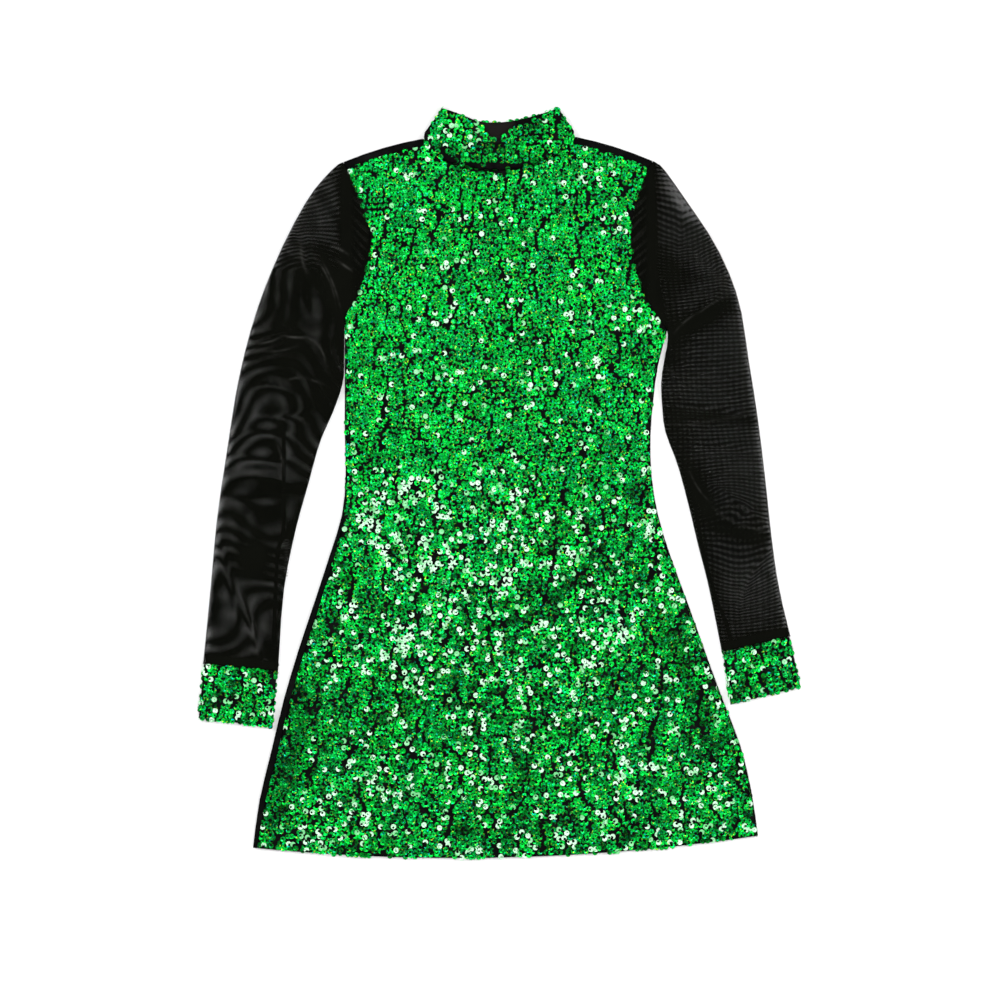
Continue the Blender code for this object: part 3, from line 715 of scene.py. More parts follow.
def knit_cloth(name):
    """Black stretch knit: fine ribs of stitches and a little lint. It is paler inside the collar, and
    shows faint bands of the sleeve heads beside the armholes."""
    material, nodes, shader, place = new_material(name, Roughness=0.85, Specular_IOR_Level=0.01)
    black = tuple(colours().knit)
    lint = nodes.step(nodes.noise(place, 60.0, detail=4.0), 0.45, 0.8)
    colour = nodes.blend(lint, black, scaled(black, 2.2))
    across, along, height = nodes.parts(place)
    slanted = nodes.joined(nodes.times(across, 0.5), nodes.minus(along, nodes.math("ABSOLUTE", across)))
    wavy = nodes.waves(slanted, 28.0, 5.0, "Y", detail=2.0, detail_scale=1.5)
    over_back = nodes.step(height, 0.3 * MM, 0.6 * MM)
    under_front = nodes.step(height, 3.4 * MM, 2.8 * MM)
    head_bands = nodes.times(nodes.times(over_back, under_front), nodes.step(wavy, 0.4, 0.95))
    for patches, cover, tint in ((HEAD_BANDS, head_bands, HEAD_TINT), (COLLAR_INSIDE, 1.0, COLLAR_TINT)):
        for x, y, wide, long in patches:
            away = nodes.vector("SUBTRACT", place, (x * MM, y * MM, 0.0))
            away = nodes.vector("MULTIPLY", away, (1 / (wide * MM), 1 / (long * MM), 0.0))
            near = nodes.step(nodes.vector("LENGTH", away, output="Value"), 1.0, 0.7)
            colour = nodes.blend(nodes.times(near, cover), colour, tint)
    nodes.feed(shader, "Base Color", colour)
    stitches = nodes.times(nodes.waves(place, 340.0, 0.6, "X"), nodes.waves(place, 260.0, 0.8, "Y"))
    nodes.bumps(shader, stitches, 0.5, 0.3 * MM)
    return material


def power_mesh(name):
    """Sheer black power mesh. Its holes are real openings, a little over a millimetre apart. Where the
    two layers lie on each other their holes drift in and out of step, which makes soft bands."""
    material, nodes, shader, place = new_material(name, Roughness=0.7, Specular_IOR_Level=0.02)
    black = tuple(colours().mesh)
    uneven = nodes.blend(nodes.noise(place, 30.0, detail=3.0), black, scaled(black, 2.0))
    edge, dense, crest = (nodes.stored(label)["Fac"] for label in ("edge", "dense", "crest"))
    # Painted sheen: broken lines of paler colour along the creases' crests
    broken_sheen = nodes.times(crest, nodes.step(nodes.noise(place, 140.0), 0.3, 0.7, 0.3, 1.2))
    nodes.feed(shader, "Base Color", nodes.blend(broken_sheen, uneven, CREST_SHEEN_TINT))
    count = nodes.vector("DIVIDE", place, (MESH_PITCH, MESH_PITCH, 1.0))
    count = nodes.vector("ADD", count, nodes.stored("slip")["Vector"])
    turns = nodes.vector("MULTIPLY", count, (2 * math.pi, 2 * math.pi, 0.0))
    across, along, _ = nodes.parts(nodes.vector("COSINE", turns))
    weave = nodes.plus(nodes.times(across, 0.5), along)
    denser = nodes.times(dense, 1.1)
    opener = nodes.times(nodes.step(edge, 9.0, 0.0), 0.65)
    level = nodes.plus(0.5, nodes.minus(denser, opener))
    soft = 0.2
    cover = nodes.slope(weave, nodes.minus(level, soft), nodes.plus(level, soft), 1.0, 0.0)
    nodes.feed(shader, "Alpha", cover)
    return material


def sequin_foil(name):
    """Green foil sequins: flecks of other colours break up each one's own green, and some flash. The
    flecks are the holographic foil's fine pattern with its sparkle and facet shade painted in.
    """
    material, nodes, shader, place = new_material(name, Roughness=0.3, Specular_IOR_Level=0.03)
    shade, flash, tone = (nodes.stored(label)["Fac"] for label in ("shade", "flash", "tone"))
    height = nodes.parts(place)[1]
    disc = nodes.add("ShaderNodeUVMap", uv_map="disc").outputs["UV"]
    disc = nodes.vector("SUBTRACT", disc, (0.5, 0.5, 0.0))
    radius = nodes.vector("LENGTH", disc, output="Value")
    spot = nodes.vector("ADD", disc, nodes.joined(z=nodes.times(shade, FLECK_SCATTER)))
    # Painted sparkle and facet shade: deep, bright and coloured flecks in each sequin
    flecks = nodes.add("ShaderNodeTexVoronoi", {"Vector": spot, "Scale": 6.5})
    chance = nodes.add("ShaderNodeSeparateColor", {"Color": flecks.outputs["Color"]}).outputs["Red"]
    leaf, deep, bright = (tuple(value) for value in (colours().leaf, colours().deep, colours().bright))
    deep_share, leaf_share = 0.12, 0.64
    stops = [(0.0, deep), (deep_share, leaf), (leaf_share, bright), *SPARKLE_FLECKS]
    fleck_sparkle = nodes.ramp(chance, stops, kind="CONSTANT")
    patch = nodes.step(nodes.noise(place, 32.0), 0.35, 0.65)
    plain = nodes.times(nodes.math("GREATER_THAN", chance, deep_share),
                        nodes.math("LESS_THAN", chance, leaf_share))
    green = nodes.blend(plain, fleck_sparkle, nodes.blend(patch, SHADED_GREEN, leaf))

    own_light = nodes.step(shade, 0.0, 1.0, -0.6, 0.28)
    near_light = nodes.step(nodes.noise(place, 65.0, detail=1.0), 0.3, 0.7, -0.3, 0.25)
    spread = nodes.step(height, -0.12, 0.05, 1.0, 0.55)
    light = nodes.plus(1.0, nodes.times(spread, nodes.plus(own_light, near_light)))
    light = nodes.times(light, nodes.step(height, -0.2, -0.1, 0.86, 1.0))
    light = nodes.times(light, nodes.slope(tone, -1.0, 1.0, 0.28, 1.4))
    light = nodes.times(light, nodes.step(radius, 0.38, 0.5, 1.0, 0.55))
    green = nodes.blend(1.0, green, nodes.joined(light, light, light), mode="MULTIPLY")

    pale = nodes.blend(nodes.step(chance, 0.5, 1.0), tuple(colours().glint), PALE_GLINT)
    pale = nodes.blend(nodes.math("LESS_THAN", chance, 0.14), pale, GREEN_GLINT)
    pale = nodes.blend(nodes.step(shade, 0.4, 0.15, 0.0, 0.75), pale, DIM_GLINT)
    colour = nodes.blend(flash, green, pale)
    hole = nodes.blend(flash, HOLE_TINT, GLINT_HOLE_TINT)
    nodes.feed(shader, "Base Color", nodes.blend(nodes.step(radius, 0.05, 0.09), hole, colour))
    nodes.feed(shader, "Metallic", nodes.step(flash, 0.0, 1.0, 0.5, 0.15))
    return material


def seam_knit(name):
    """Overlocked seam allowance of black knit, ridged across by its thread."""
    material, nodes, shader, place = new_material(name, Roughness=0.8, Specular_IOR_Level=0.02)
    nodes.feed(shader, "Base Color", nodes.blend(nodes.noise(place, 400.0), *SEAM_TINTS))
    nodes.bumps(shader, nodes.waves(place, 300.0, 1.5, "Y"), 0.6, 0.4 * MM)
    return material


def thread(name):
    """Dull black polyester thread, twisted."""
    material, nodes, shader, place = new_material(name, Roughness=0.6, Specular_IOR_Level=0.1)
    twist = nodes.waves(place, 500.0, 1.0, "DIAGONAL", detail=2.0)
    nodes.feed(shader, "Base Color", nodes.blend(twist, *THREAD_TINTS))
    return material


def cup_template(name):
    """One cup sequin, 1 across: a hole, a flat ring, and a rim raised on flat facets."""
    mesh = bmesh.new()
    uv = mesh.loops.layers.uv.new("disc")
    turns = [2 * math.pi * k / CUP_SIDES for k in range(CUP_SIDES)]
    loops = [[mesh.verts.new((radius * math.cos(turn), radius * math.sin(turn), height)) for turn in turns]
             for radius, height in CUP_RINGS]
    for low, high in zip(loops, loops[1:]):
        for i in range(CUP_SIDES):
            j = (i + 1) % CUP_SIDES
            face = mesh.faces.new((low[i], high[i], high[j], low[j]))
            for loop in face.loops:
                loop[uv].uv = (0.5 + loop.vert.co.x, 0.5 + loop.vert.co.y)
    bmesh.ops.recalc_face_normals(mesh, faces=mesh.faces)
    if sum(face.normal.z for face in mesh.faces) < 0:
        bmesh.ops.reverse_faces(mesh, faces=mesh.faces)
    data = bpy.data.meshes.new(name)
    mesh.to_mesh(data)
    mesh.free()
    return new_object(name, data)


def new_tree(name, sockets):
    """An empty geometry tree with its named inputs, and a helper to build the rest."""
    tree = bpy.data.node_groups.new(name, "GeometryNodeTree")
    tree.interface.new_socket("Geometry", in_out="INPUT", socket_type="NodeSocketGeometry")
    tree.interface.new_socket("Geometry", in_out="OUTPUT", socket_type="NodeSocketGeometry")
    for label, kind in sockets:
        tree.interface.new_socket(label, in_out="INPUT", socket_type="NodeSocket" + kind)
    nodes = Nodes(tree)
    return tree, nodes, nodes.add("NodeGroupInput").outputs


def instances(nodes, template, points, rotation, size):
    """A template object on each point."""
    shape = nodes.add("GeometryNodeObjectInfo", {"Object": template, "As Instance": True})
    return nodes.add("GeometryNodeInstanceOnPoints", {
        "Points": points, "Instance": shape.outputs["Geometry"], "Rotation": rotation,
        "Scale": nodes.joined(size, size, size)}).outputs[0]


def end_tree(nodes, made, material):
    """End a geometry tree: instances become a real mesh with its material."""
    real = nodes.add("GeometryNodeRealizeInstances", {"Geometry": made})
    coated = nodes.add("GeometryNodeSetMaterial", {"Geometry": real.outputs[0], "Material": material})
    nodes.add("NodeGroupOutput", {"Geometry": coated.outputs[0]})


def sewing_tree():
    """Sews cup sequins over a cloth: in wavy rows on top, with bare lines between their groups,
    and more loosely where the cloth turns down and under."""
    tree, nodes, given = new_tree("sew_sequins", [
        ("Sequin", "Object"), ("Diameter", "Float"), ("Spacing", "Float"), ("Row Spacing", "Float"),
        ("Tilt", "Float"), ("Gap Width", "Float"), ("Missing", "Float"), ("Glint Share", "Float"),
        ("Middle", "Vector"), ("Width", "Float"), ("Length", "Float"), ("Turn", "Float"),
        ("Lowest Y", "Float"), ("Highest Y", "Float"), ("Seed", "Int"), ("Material", "Material"),
    ])
    place = nodes.add("GeometryNodeInputPosition").outputs[0]
    height = nodes.parts(place)[1]
    grid = nodes.add("GeometryNodeMeshGrid", {
        "Size X": given["Width"], "Size Y": given["Length"],
        "Vertices X": nodes.math("DIVIDE", given["Width"], given["Spacing"]),
        "Vertices Y": nodes.math("DIVIDE", given["Length"], given["Row Spacing"]),
    })
    row_number = nodes.plus(nodes.times(height, ROW_SCATTER), given["Seed"])
    phase = nodes.add("ShaderNodeTexWhiteNoise", {"W": row_number}, noise_dimensions="1D")
    loose = nodes.joined(nodes.times(phase.outputs["Value"], given["Spacing"]))
    for scale, reach in ROW_WAVES:
        loose = nodes.vector("ADD", loose, wave_offset(nodes, place, scale, reach))
    laid = nodes.add("GeometryNodeSetPosition", {"Geometry": grid.outputs["Mesh"], "Offset": loose})

    groups_across, groups_along = SEQUIN_GROUPS
    groups = nodes.vector("ADD", nodes.vector("MULTIPLY", place, (groups_across, groups_along, 0.0)),
                          wave_offset(nodes, place, *GROUP_WAVES))
    centre = nodes.add("ShaderNodeTexVoronoi", {"Vector": groups, "Scale": 1.0},
                       voronoi_dimensions="2D").outputs["Position"]
    inward = nodes.vector("MULTIPLY", nodes.vector("SUBTRACT", centre, groups),
                          (1 / groups_across, GROUP_PULL / groups_along, 0.0))
    pulled = nodes.vector("SCALE", inward)
    uneven = nodes.step(nodes.noise(place, 31.0, detail=1.0), 0.3, 0.7, 0.45, 1.25)
    nodes.feed(pulled.node, "Scale", nodes.times(given["Gap Width"], uneven))
    grouped = nodes.add("GeometryNodeSetPosition", {"Geometry": laid.outputs[0], "Offset": pulled})
    moved = nodes.add("GeometryNodeTransform", {
        "Geometry": grouped.outputs[0], "Translation": given["Middle"],
        "Rotation": nodes.joined(z=given["Turn"])})

    tone = nodes.add("GeometryNodeInputNamedAttribute", {"Name": "tone"}).outputs["Attribute"]
    drop = nodes.add("GeometryNodeRaycast", {
        "Target Geometry": given["Geometry"], "Attribute": tone,
        "Source Position": nodes.vector("ADD", place, (0.0, 0.0, DROP_HEIGHT)),
        "Ray Direction": (0.0, 0.0, -1.0), "Ray Length": DROP_LENGTH}, data_type="FLOAT")
    toned = nodes.add("GeometryNodeStoreNamedAttribute", {
        "Geometry": moved.outputs[0], "Name": "tone", "Value": drop.outputs["Attribute"],
    }, data_type="FLOAT", domain="POINT")
    outside = nodes.plus(nodes.math("LESS_THAN", height, given["Lowest Y"]),
                         nodes.math("GREATER_THAN", height, given["Highest Y"]))
    lost = nodes.math("LESS_THAN", random_share(nodes, given["Seed"], 11), given["Missing"])
    hidden = nodes.plus(nodes.minus(1.0, drop.outputs["Is Hit"]), nodes.math("LESS_THAN", tone, FOLDED_IN))
    top = nodes.add("GeometryNodeDeleteGeometry", {
        "Geometry": toned.outputs[0], "Selection": nodes.plus(nodes.plus(outside, lost), hidden),
    }, domain="POINT")
    top = nodes.add("GeometryNodeMeshToPoints", {
        "Mesh": top.outputs[0], "Position": drop.outputs["Hit Position"]})

    facing = nodes.parts(nodes.add("GeometryNodeInputNormal").outputs[0])[2]
    round_side = nodes.add("GeometryNodeDistributePointsOnFaces", {
        "Mesh": given["Geometry"], "Distance Min": given["Row Spacing"], "Density Max": SIDE_TRIES,
        "Density Factor": nodes.math("LESS_THAN", facing, SIDE_FACING), "Seed": given["Seed"],
    }, distribute_method="POISSON")
    side = nodes.add("GeometryNodeDeleteGeometry", {
        "Geometry": round_side.outputs["Points"], "Selection": outside}, domain="POINT")
    sewn = nodes.add("GeometryNodeJoinGeometry")
    for points, normal in ((top.outputs[0], drop.outputs["Hit Normal"]),
                           (side.outputs[0], round_side.outputs["Normal"])):
        tree.links.new(sewn_on(nodes, given, points, normal), sewn.inputs[0])
    end_tree(nodes, sewn.outputs[0], given["Material"])
    return tree


def random_share(nodes, seed, step):
    """A random value from 0 to 1 for each point."""
    return nodes.add("FunctionNodeRandomValue", {
        "Seed": nodes.plus(seed, float(step))}, data_type="FLOAT").outputs[1]


def wave_offset(nodes, place, scale, reach):
    """A soft random offset in plan, with a size of about its reach."""
    noise = nodes.noise(place, scale, detail=1.0, output="Color")
    centred = nodes.vector("SUBTRACT", noise, (0.5, 0.5, 0.5))
    return nodes.vector("MULTIPLY", centred, (4 * reach, 4 * reach, 0.0))


def sewn_on(nodes, given, points, normal):
    """Sequins on points, each tipped a little on its thread and lifted clear of the cloth. Under the
    dress they are pressed nearly flat."""
    free = nodes.step(nodes.parts(normal)[2], -0.2, 0.2, 0.15, 1.0)
    aligned = nodes.add("FunctionNodeAlignRotationToVector", {"Vector": normal}, axis="Z")
    spin = nodes.add("FunctionNodeRandomValue", {
        "Min": (-1.0, -1.0, -math.pi), "Max": (1.0, 1.0, math.pi), "Seed": given["Seed"],
    }, data_type="FLOAT_VECTOR").outputs[0]
    tilt = nodes.times(given["Tilt"], free)
    turned = nodes.vector("MULTIPLY", spin, nodes.joined(tilt, tilt, 1.0))
    rotation = nodes.add("FunctionNodeRotateRotation", {
        "Rotation": aligned.outputs[0],
        "Rotate By": nodes.add("FunctionNodeEulerToRotation", {0: turned}).outputs[0],
    }, rotation_space="LOCAL").outputs[0]
    sewn = instances(nodes, given["Sequin"], points, rotation, given["Diameter"])

    place = nodes.add("GeometryNodeInputPosition").outputs[0]
    height = nodes.parts(place)[1]
    stops = [(along, (share / FULL_WHITE,) * 3) for along, share in GLINT_SHARES]
    often = nodes.times(nodes.ramp(nodes.slope(height, *HEM_TO_COLLAR), stops), FULL_WHITE)
    tone = nodes.add("GeometryNodeInputNamedAttribute", {"Name": "tone"}).outputs["Attribute"]
    lit = nodes.slope(tone, -0.8, 0.8, -0.5, 2.5)
    cluster = nodes.times(nodes.step(nodes.noise(place, 95.0, detail=1.0), 0.35, 0.65, 0.2, 1.8),
                          nodes.step(nodes.noise(place, 33.0, detail=1.0), 0.35, 0.65, 0.5, 1.5))
    share = nodes.times(nodes.times(given["Glint Share"], often), nodes.times(lit, cluster))
    flash = nodes.math("LESS_THAN", random_share(nodes, given["Seed"], 2), share)
    raised = nodes.plus(nodes.times(random_share(nodes, given["Seed"], 3), RANDOM_LIFT),
                        nodes.times(flash, FLASH_LIFT))
    lift = nodes.plus(nodes.times(raised, free), LEAST_LIFT)
    lifted = nodes.add("GeometryNodeTranslateInstances", {
        "Instances": sewn, "Local Space": True,
        "Translation": nodes.joined(z=nodes.times(lift, given["Diameter"]))}).outputs[0]
    for label, value in (("shade", random_share(nodes, given["Seed"], 1)), ("flash", flash)):
        lifted = nodes.add("GeometryNodeStoreNamedAttribute", {
            "Geometry": lifted, "Name": label, "Value": value,
        }, data_type="FLOAT", domain="INSTANCE").outputs[0]
    return lifted


def run_tree(ground, tree, values, name):
    """Run a geometry tree on a ground mesh and return what it makes as a plain mesh object."""
    sockets = {item.name: item.identifier for item in tree.interface.items_tree if item.in_out == "INPUT"}
    modifier = ground.modifiers.new(tree.name, "NODES")
    modifier.node_group = tree
    for label, value in values.items():
        modifier[sockets[label]] = value
    bpy.context.view_layer.update()
    graph = bpy.context.evaluated_depsgraph_get()
    data = bpy.data.meshes.new_from_object(ground.evaluated_get(graph), depsgraph=graph)
    ground.modifiers.remove(modifier)
    data.name = name
    return new_object(name, data)


def sew_sequins(ground, node, pieces, template, tree, turn=0.0):
    """Sew one piece of sequins for each named stretch of the ground, and drop the ground."""
    sizes = cloth()
    low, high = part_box(node)
    middle = (low + high) / 2
    made = []
    for name, lowest, highest in pieces:
        piece = run_tree(ground, tree, {
            "Sequin": template, "Diameter": sizes.sequin_diameter, "Spacing": sizes.sequin_spacing,
            "Row Spacing": sizes.row_spacing, "Tilt": sizes.sequin_tilt, "Gap Width": sizes.gap_width,
            "Missing": sizes.missing, "Glint Share": sizes.glint_share,
            "Middle": (middle.x, middle.y, 0.0), "Width": high.x - low.x + GRID_MARGIN,
            "Length": high.y - low.y + GRID_MARGIN, "Turn": turn,
            "Lowest Y": lowest, "Highest Y": highest, "Seed": sizes.seed,
            "Material": once("green_foil_sequins", sequin_foil),
        }, name)
        made.append(on_dress(piece))
    bpy.data.objects.remove(ground)
    return made


def places(piece):
    """A piece's points in millimetres, as three rows."""
    place = np.zeros(len(piece.data.vertices) * 3)
    piece.data.vertices.foreach_get("co", place)
    return place.reshape(-1, 3).T / MM


def store(piece, label, values):
    """Store a value, or a vector, for each of a piece's points."""
    if values.ndim == 1:
        layer = piece.data.attributes.new(label, "FLOAT", "POINT")
        layer.data.foreach_set("value", values.astype(np.float32))
    else:
        layer = piece.data.attributes.new(label, "FLOAT_VECTOR", "POINT")
        layer.data.foreach_set("vector", values.astype(np.float32).ravel())


def dressed_wall(node, name, creases, sunk):
    """A node's wall as fine black knit, and a copy of its outer side to sew sequins on, which carries
    the tones."""
    mesh, mark = wall_copy(node, cloth().longest_edge)
    soften(mesh)
    raise_creases(mesh, creases)
    move_side(mesh, mark, OUTSIDE, sunk)
    outside = mesh.copy()
    keep_outside(outside)
    split_long_edges(outside, cloth().tone_edge)
    ground = finished(name + "_ground", outside, once("black_stretch_knit", knit_cloth))
    x, y, _ = places(ground)
    store(ground, "tone", strokes(TONES, x, y))
    return finished(name, mesh, once("black_stretch_knit", knit_cloth)), ground


class DRESS_OT_front(bpy.types.Operator):
    """Make the front panel: black knit with green sequins sewn all over it"""

    bl_idname = "dress.front"
    bl_label = "Front Panel"

    def execute(self, context):
        piece, ground = dressed_wall("front_panel", "front_cloth", FRONT_CREASES, cloth().sequin_room)
        on_dress(piece)
        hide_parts("front_panel")
        template = cup_template("sequin_cup")
        sequins = sew_sequins(ground, "front_panel", FRONT_BANDS, template, sewing_tree())
        bpy.data.objects.remove(template)
        return {"FINISHED"}


class DRESS_OT_back(bpy.types.Operator):
    """Make the back panel of plain black knit, with its lips over the shoulders and left side"""

    bl_idname = "dress.back"
    bl_label = "Back Panel"

    def execute(self, context):
        mesh, _ = wall_copy("back_panel", BACK_EDGES * cloth().longest_edge)
        piece = finished("back_cloth", mesh, once("black_stretch_knit", knit_cloth))
        on_dress(piece)
        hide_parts("back_panel")
        return {"FINISHED"}


class DRESS_OT_bands(bpy.types.Operator):
    """Make the collar and the cuffs: tubes of black knit with sequins on their outer side"""

    bl_idname = "dress.bands"
    bl_label = "Collar and Cuffs"

    def execute(self, context):
        template = cup_template("sequin_cup")
        tree = sewing_tree()
        for node, (width, length, area, turn) in BANDS.items():
            piece, ground = dressed_wall(node, node + "_cloth", [], cloth().sequin_room)
            on_dress(piece)
            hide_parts(node)
            sequins = sew_sequins(ground, node, [(node + "_sequins", -1.0, 1.0)], template, tree, turn)
        bpy.data.objects.remove(template)
        return {"FINISHED"}


def outer_distance(side, x, y):
    """How far in from a sleeve's outer fold each point lies, in millimetres."""
    outward = x if side == "right" else -x
    steps = np.linspace(y.min(), y.max(), SLICES + 1)
    slot = np.clip(np.digitize(y, steps) - 1, 0, SLICES - 1)
    filled = [k for k in range(SLICES) if (slot == k).any()]
    reach = [outward[slot == k].max() for k in filled]
    middle = (steps[filled] + steps[np.array(filled) + 1]) / 2
    return np.clip(np.interp(y, middle, reach) - outward, 0, None)


def mark_layers(piece, side):
    """Store what the mesh's material reads: how the upper layer has slipped against the lower one,
    counted in holes, how far in each point lies, where the cloth is denser, and the painted sheen on
    crests."""
    x, y, z = places(piece)
    upper = np.clip((z - LAYER_START) / LAYER_DEPTH, 0, 1)
    edge = outer_distance(side, x, y)
    pitch = MESH_PITCH / MM
    stretch_x, stretch_y, turn, arc, crimp, wander = SLIPS[side]
    drift = wander * sum(np.sin(x / wide + y / long + start) for wide, long, start in WANDER)
    across = (stretch_x * x + turn * y) / pitch + drift
    along = (stretch_y * y - turn * x + crimp * np.clip(y - CROWDED_ABOVE, 0, None)) / pitch
    along += (drift + arc * ((edge - ARC_MIDDLE) / ARC_MIDDLE) ** 2
              + CREASE_SHIFT * strokes(SLEEVE_CREASES[side], x, y))
    for middle_x, middle_y, radius, turns in SWIRLS[side]:
        along += turns * np.exp(-((x - middle_x) ** 2 + (y - middle_y) ** 2) / radius ** 2)
    store(piece, "slip", np.stack([across * upper, along * upper, np.zeros(len(x))], axis=1))
    store(piece, "edge", edge)
    store(piece, "dense", upper * strokes(SLEEVE_DENSE[side], x, y))
    store(piece, "crest", upper * np.clip(strokes(SLEEVE_CRESTS[side], x, y), 0, 1))


def ribbon(name, points, width, thickness, material):
    """A thin flat strip of the dress along a smooth path of points, in millimetres in plan."""
    mesh = bmesh.new()
    path = smooth_path([Vector((x * MM, y * MM, SEAM_HEIGHT)) for x, y in points])
    up = Vector((0, 0, thickness))
    rings = []
    for k, here in enumerate(path):
        ahead = path[min(k + 1, len(path) - 1)] - path[max(k - 1, 0)]
        side = Vector((-ahead.y, ahead.x, 0)).normalized() * width / 2
        corners = (here - side, here + side, here + side + up, here - side + up)
        rings.append([mesh.verts.new(corner) for corner in corners])
    for first, second in zip(rings, rings[1:]):
        for k in range(4):
            mesh.faces.new((first[k], first[(k + 1) % 4], second[(k + 1) % 4], second[k]))
    mesh.faces.new(rings[0][::-1])
    mesh.faces.new(rings[-1])
    bmesh.ops.recalc_face_normals(mesh, faces=mesh.faces)
    return on_dress(finished(name, mesh, material))


def smooth_path(points):
    """More points on a smooth curve through a few."""
    full = []
    last = len(points) - 1
    for k in range(last):
        a, b, c, d = (points[min(max(k + j, 0), last)] for j in (-1, 0, 1, 2))
        for i in range(PATH_STEPS):
            t = i / PATH_STEPS
            bend = 2 * a - 5 * b + 4 * c - d + t * (3 * b - a - 3 * c + d)
            full.append(b + 0.5 * t * (c - a + t * bend))
    return full + [points[-1]]


def thread_template(name):
    """One loop of overlock thread, 1 long across its seam."""
    corners = [(x, y, z) for x in (-LOOP_THIN, LOOP_THIN) for y in (-LOOP_HALF, LOOP_HALF)
               for z in (0.0, 2 * LOOP_THIN)]
    sides = [(0, 1, 3, 2), (4, 6, 7, 5), (0, 4, 5, 1), (2, 3, 7, 6), (0, 2, 6, 4), (1, 5, 7, 3)]
    data = bpy.data.meshes.new(name)
    data.from_pydata(corners, [], sides)
    return new_object(name, data)


def stitch_tree():
    """Lays loops of thread across a path, on the cloth under it."""
    tree, nodes, given = new_tree("stitch_path", [
        ("Thread", "Object"), ("Cloth", "Object"), ("Pitch", "Float"), ("Size", "Float"),
        ("Material", "Material")])
    path = nodes.add("GeometryNodeMeshToCurve", {"Mesh": given["Geometry"]})
    points = nodes.add("GeometryNodeCurveToPoints", {"Curve": path.outputs[0], "Length": given["Pitch"]},
                       mode="LENGTH")
    ground = nodes.add("GeometryNodeObjectInfo", {"Object": given["Cloth"]})
    place = nodes.add("GeometryNodeInputPosition").outputs[0]
    drop = nodes.add("GeometryNodeRaycast", {
        "Target Geometry": ground.outputs["Geometry"], "Source Position": place,
        "Ray Direction": (0.0, 0.0, -1.0), "Ray Length": DROP_LENGTH})
    laid = nodes.add("GeometryNodeSetPosition", {
        "Geometry": points.outputs["Points"], "Position": drop.outputs["Hit Position"]})
    heading = nodes.add("FunctionNodeAlignRotationToVector", {
        "Vector": points.outputs["Tangent"]}, axis="X").outputs[0]
    sewn = instances(nodes, given["Thread"], laid.outputs[0], heading, given["Size"])
    end_tree(nodes, sewn, given["Material"])
    return tree


def stitched(name, points, cloth_piece, tree, template):
    """Stitches along a path of points, in millimetres in plan, on a piece of cloth."""
    path = smooth_path([Vector((x * MM, y * MM, DROP_HEIGHT)) for x, y in points])
    data = bpy.data.meshes.new(name + "_path")
    data.from_pydata(path, [(k, k + 1) for k in range(len(path) - 1)], [])
    guide = new_object(name + "_path", data)
    piece = run_tree(guide, tree, {
        "Thread": template, "Cloth": cloth_piece, "Pitch": cloth().stitch_pitch,
        "Size": cloth().stitch_length, "Material": once("black_thread", thread)}, name)
    bpy.data.objects.remove(guide)
    return on_dress(piece)


class DRESS_OT_sleeves(bpy.types.Operator):
    """Make the sheer mesh sleeves, two layers of mesh that lie on each other"""

    bl_idname = "dress.sleeves"
    bl_label = "Sleeves"

    def execute(self, context):
        for side, area in SLEEVE_AREAS.items():
            node = "sleeve_" + side
            mesh, mark = wall_copy(node, SLEEVE_EDGES * cloth().longest_edge, SLEEVE_CRESTS[side])
            soften(mesh)
            raise_creases(mesh, SLEEVE_CREASES[side])
            move_side(mesh, mark, INSIDE, SLEEVE_WALL - cloth().mesh_thickness)
            piece = finished(node + "_mesh", mesh, once("black_power_mesh", power_mesh))
            on_dress(piece)
            mark_layers(piece, side)
            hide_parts(node)
        return {"FINISHED"}


class DRESS_OT_seams(bpy.types.Operator):
    """Make the seam allowances that show through the sleeves"""

    bl_idname = "dress.seams"
    bl_label = "Seams"

    def execute(self, context):
        material = once("black_overlock", seam_knit)
        tree, template = stitch_tree(), thread_template("overlock_loop")
        for side in ("left", "right"):
            arm, wrist = ARM_SEAMS[side], WRIST_SEAMS[side]
            strip = ribbon("arm_seam_" + side, arm, cloth().seam_allowance, ARM_SEAM_DEPTH, material)
            stitched("arm_stitches_" + side, arm, strip, tree, template)
            ribbon("wrist_seam_" + side, wrist, WRIST_SEAM_WIDTH, WRIST_SEAM_DEPTH, material)
        sleeve = bpy.data.objects["sleeve_left_mesh"]
        stitched("edge_stitches_left", EDGE_STITCHES, sleeve, tree, template)
        bpy.data.objects.remove(template)
        return {"FINISHED"}


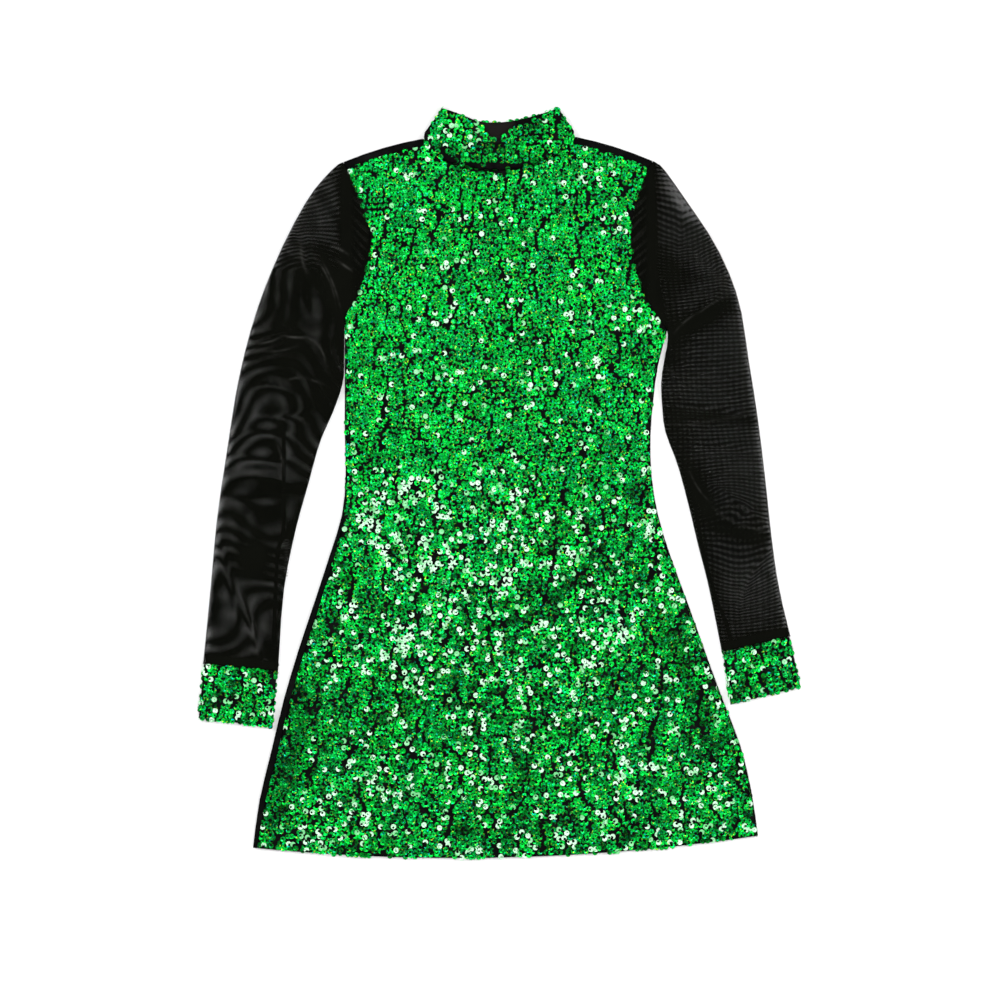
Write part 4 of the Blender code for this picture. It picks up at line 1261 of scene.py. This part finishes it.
class DRESS_OT_stage(bpy.types.Operator):
    """Make the pale floor, the soft studio lights and the camera straight above"""

    bl_idname = "dress.stage"
    bl_label = "Stage"

    def execute(self, context):
        stage = context.scene.dress_stage
        data = bpy.data.meshes.new("floor")
        corners = [(x * FLOOR_HALF, y * FLOOR_HALF, FLOOR_UNDER)
                   for x, y in ((-1, -1), (1, -1), (1, 1), (-1, 1))]
        data.from_pydata(corners, [], [(0, 1, 2, 3)])
        floor = new_object("floor", data)
        material, nodes, shader, place = new_material("pale_floor", Roughness=0.9)
        pale = tuple(stage.floor_colour)
        uneven = nodes.noise(place, 3.0)
        nodes.feed(shader, "Base Color", nodes.blend(uneven, pale, scaled(pale, 0.99)))
        data.materials.append(material)

        world = bpy.data.worlds.new("studio")
        world.use_nodes = True
        backdrop = world.node_tree.nodes["Background"]
        backdrop.inputs["Color"].default_value = (1.0, 1.0, 1.0, 1.0)
        backdrop.inputs["Strength"].default_value = stage.sky
        context.scene.world = world

        for name, spot, size, power in LAMPS:
            light = bpy.data.lights.new(name, "AREA")
            light.energy = power * stage.lamps
            light.size = size
            lamp = new_object(name, light)
            lamp.location = spot
            lamp.rotation_euler = (-Vector(spot)).to_track_quat("-Z", "Y").to_euler()

        camera = bpy.data.cameras.new("camera")
        camera.lens = camera.sensor_width * stage.view_height / stage.view_width
        camera.clip_end = FARTHEST_SEEN
        seen = new_object("camera", camera)
        seen.location = (stage.view_x, stage.view_y, stage.view_height)
        context.scene.camera = seen
        context.scene.view_settings.view_transform = "Standard"
        return {"FINISHED"}


class DRESS_PT_panel(bpy.types.Panel):
    """Lists the sizes and the pieces of the dress"""

    bl_idname = "DRESS_PT_panel"
    bl_label = "Sequin Dress"
    bl_space_type = "VIEW_3D"
    bl_region_type = "UI"
    bl_category = "Dress"

    def draw(self, context):
        for group in (context.scene.dress_cloth, context.scene.dress_colours, context.scene.dress_stage):
            box = self.layout.box()
            for name in group.bl_rna.properties.keys():
                if name not in ("rna_type", "name"):
                    box.prop(group, name)
        for operator in OPERATORS:
            self.layout.operator(operator.bl_idname)


GROUPS = {"dress_cloth": DressCloth, "dress_colours": DressColours, "dress_stage": DressStage}
OPERATORS = (DRESS_OT_stage, DRESS_OT_back, DRESS_OT_front, DRESS_OT_bands, DRESS_OT_sleeves,
             DRESS_OT_seams)


def register():
    """Make the settings, operators and panel known to Blender."""
    for kind in (*GROUPS.values(), *OPERATORS, DRESS_PT_panel):
        bpy.utils.register_class(kind)
    for name, kind in GROUPS.items():
        setattr(bpy.types.Scene, name, bpy.props.PointerProperty(type=kind))


def unregister():
    """Take them out again."""
    for name in GROUPS:
        delattr(bpy.types.Scene, name)
    for kind in (DRESS_PT_panel, *reversed(OPERATORS), *reversed(GROUPS.values())):
        bpy.utils.unregister_class(kind)


def main():
    """Make the whole dress."""
    register()
    bpy.ops.dress.stage()
    bpy.ops.dress.back()
    bpy.ops.dress.front()
    bpy.ops.dress.bands()
    bpy.ops.dress.sleeves()
    bpy.ops.dress.seams()


if __name__ == "__main__":
    main()
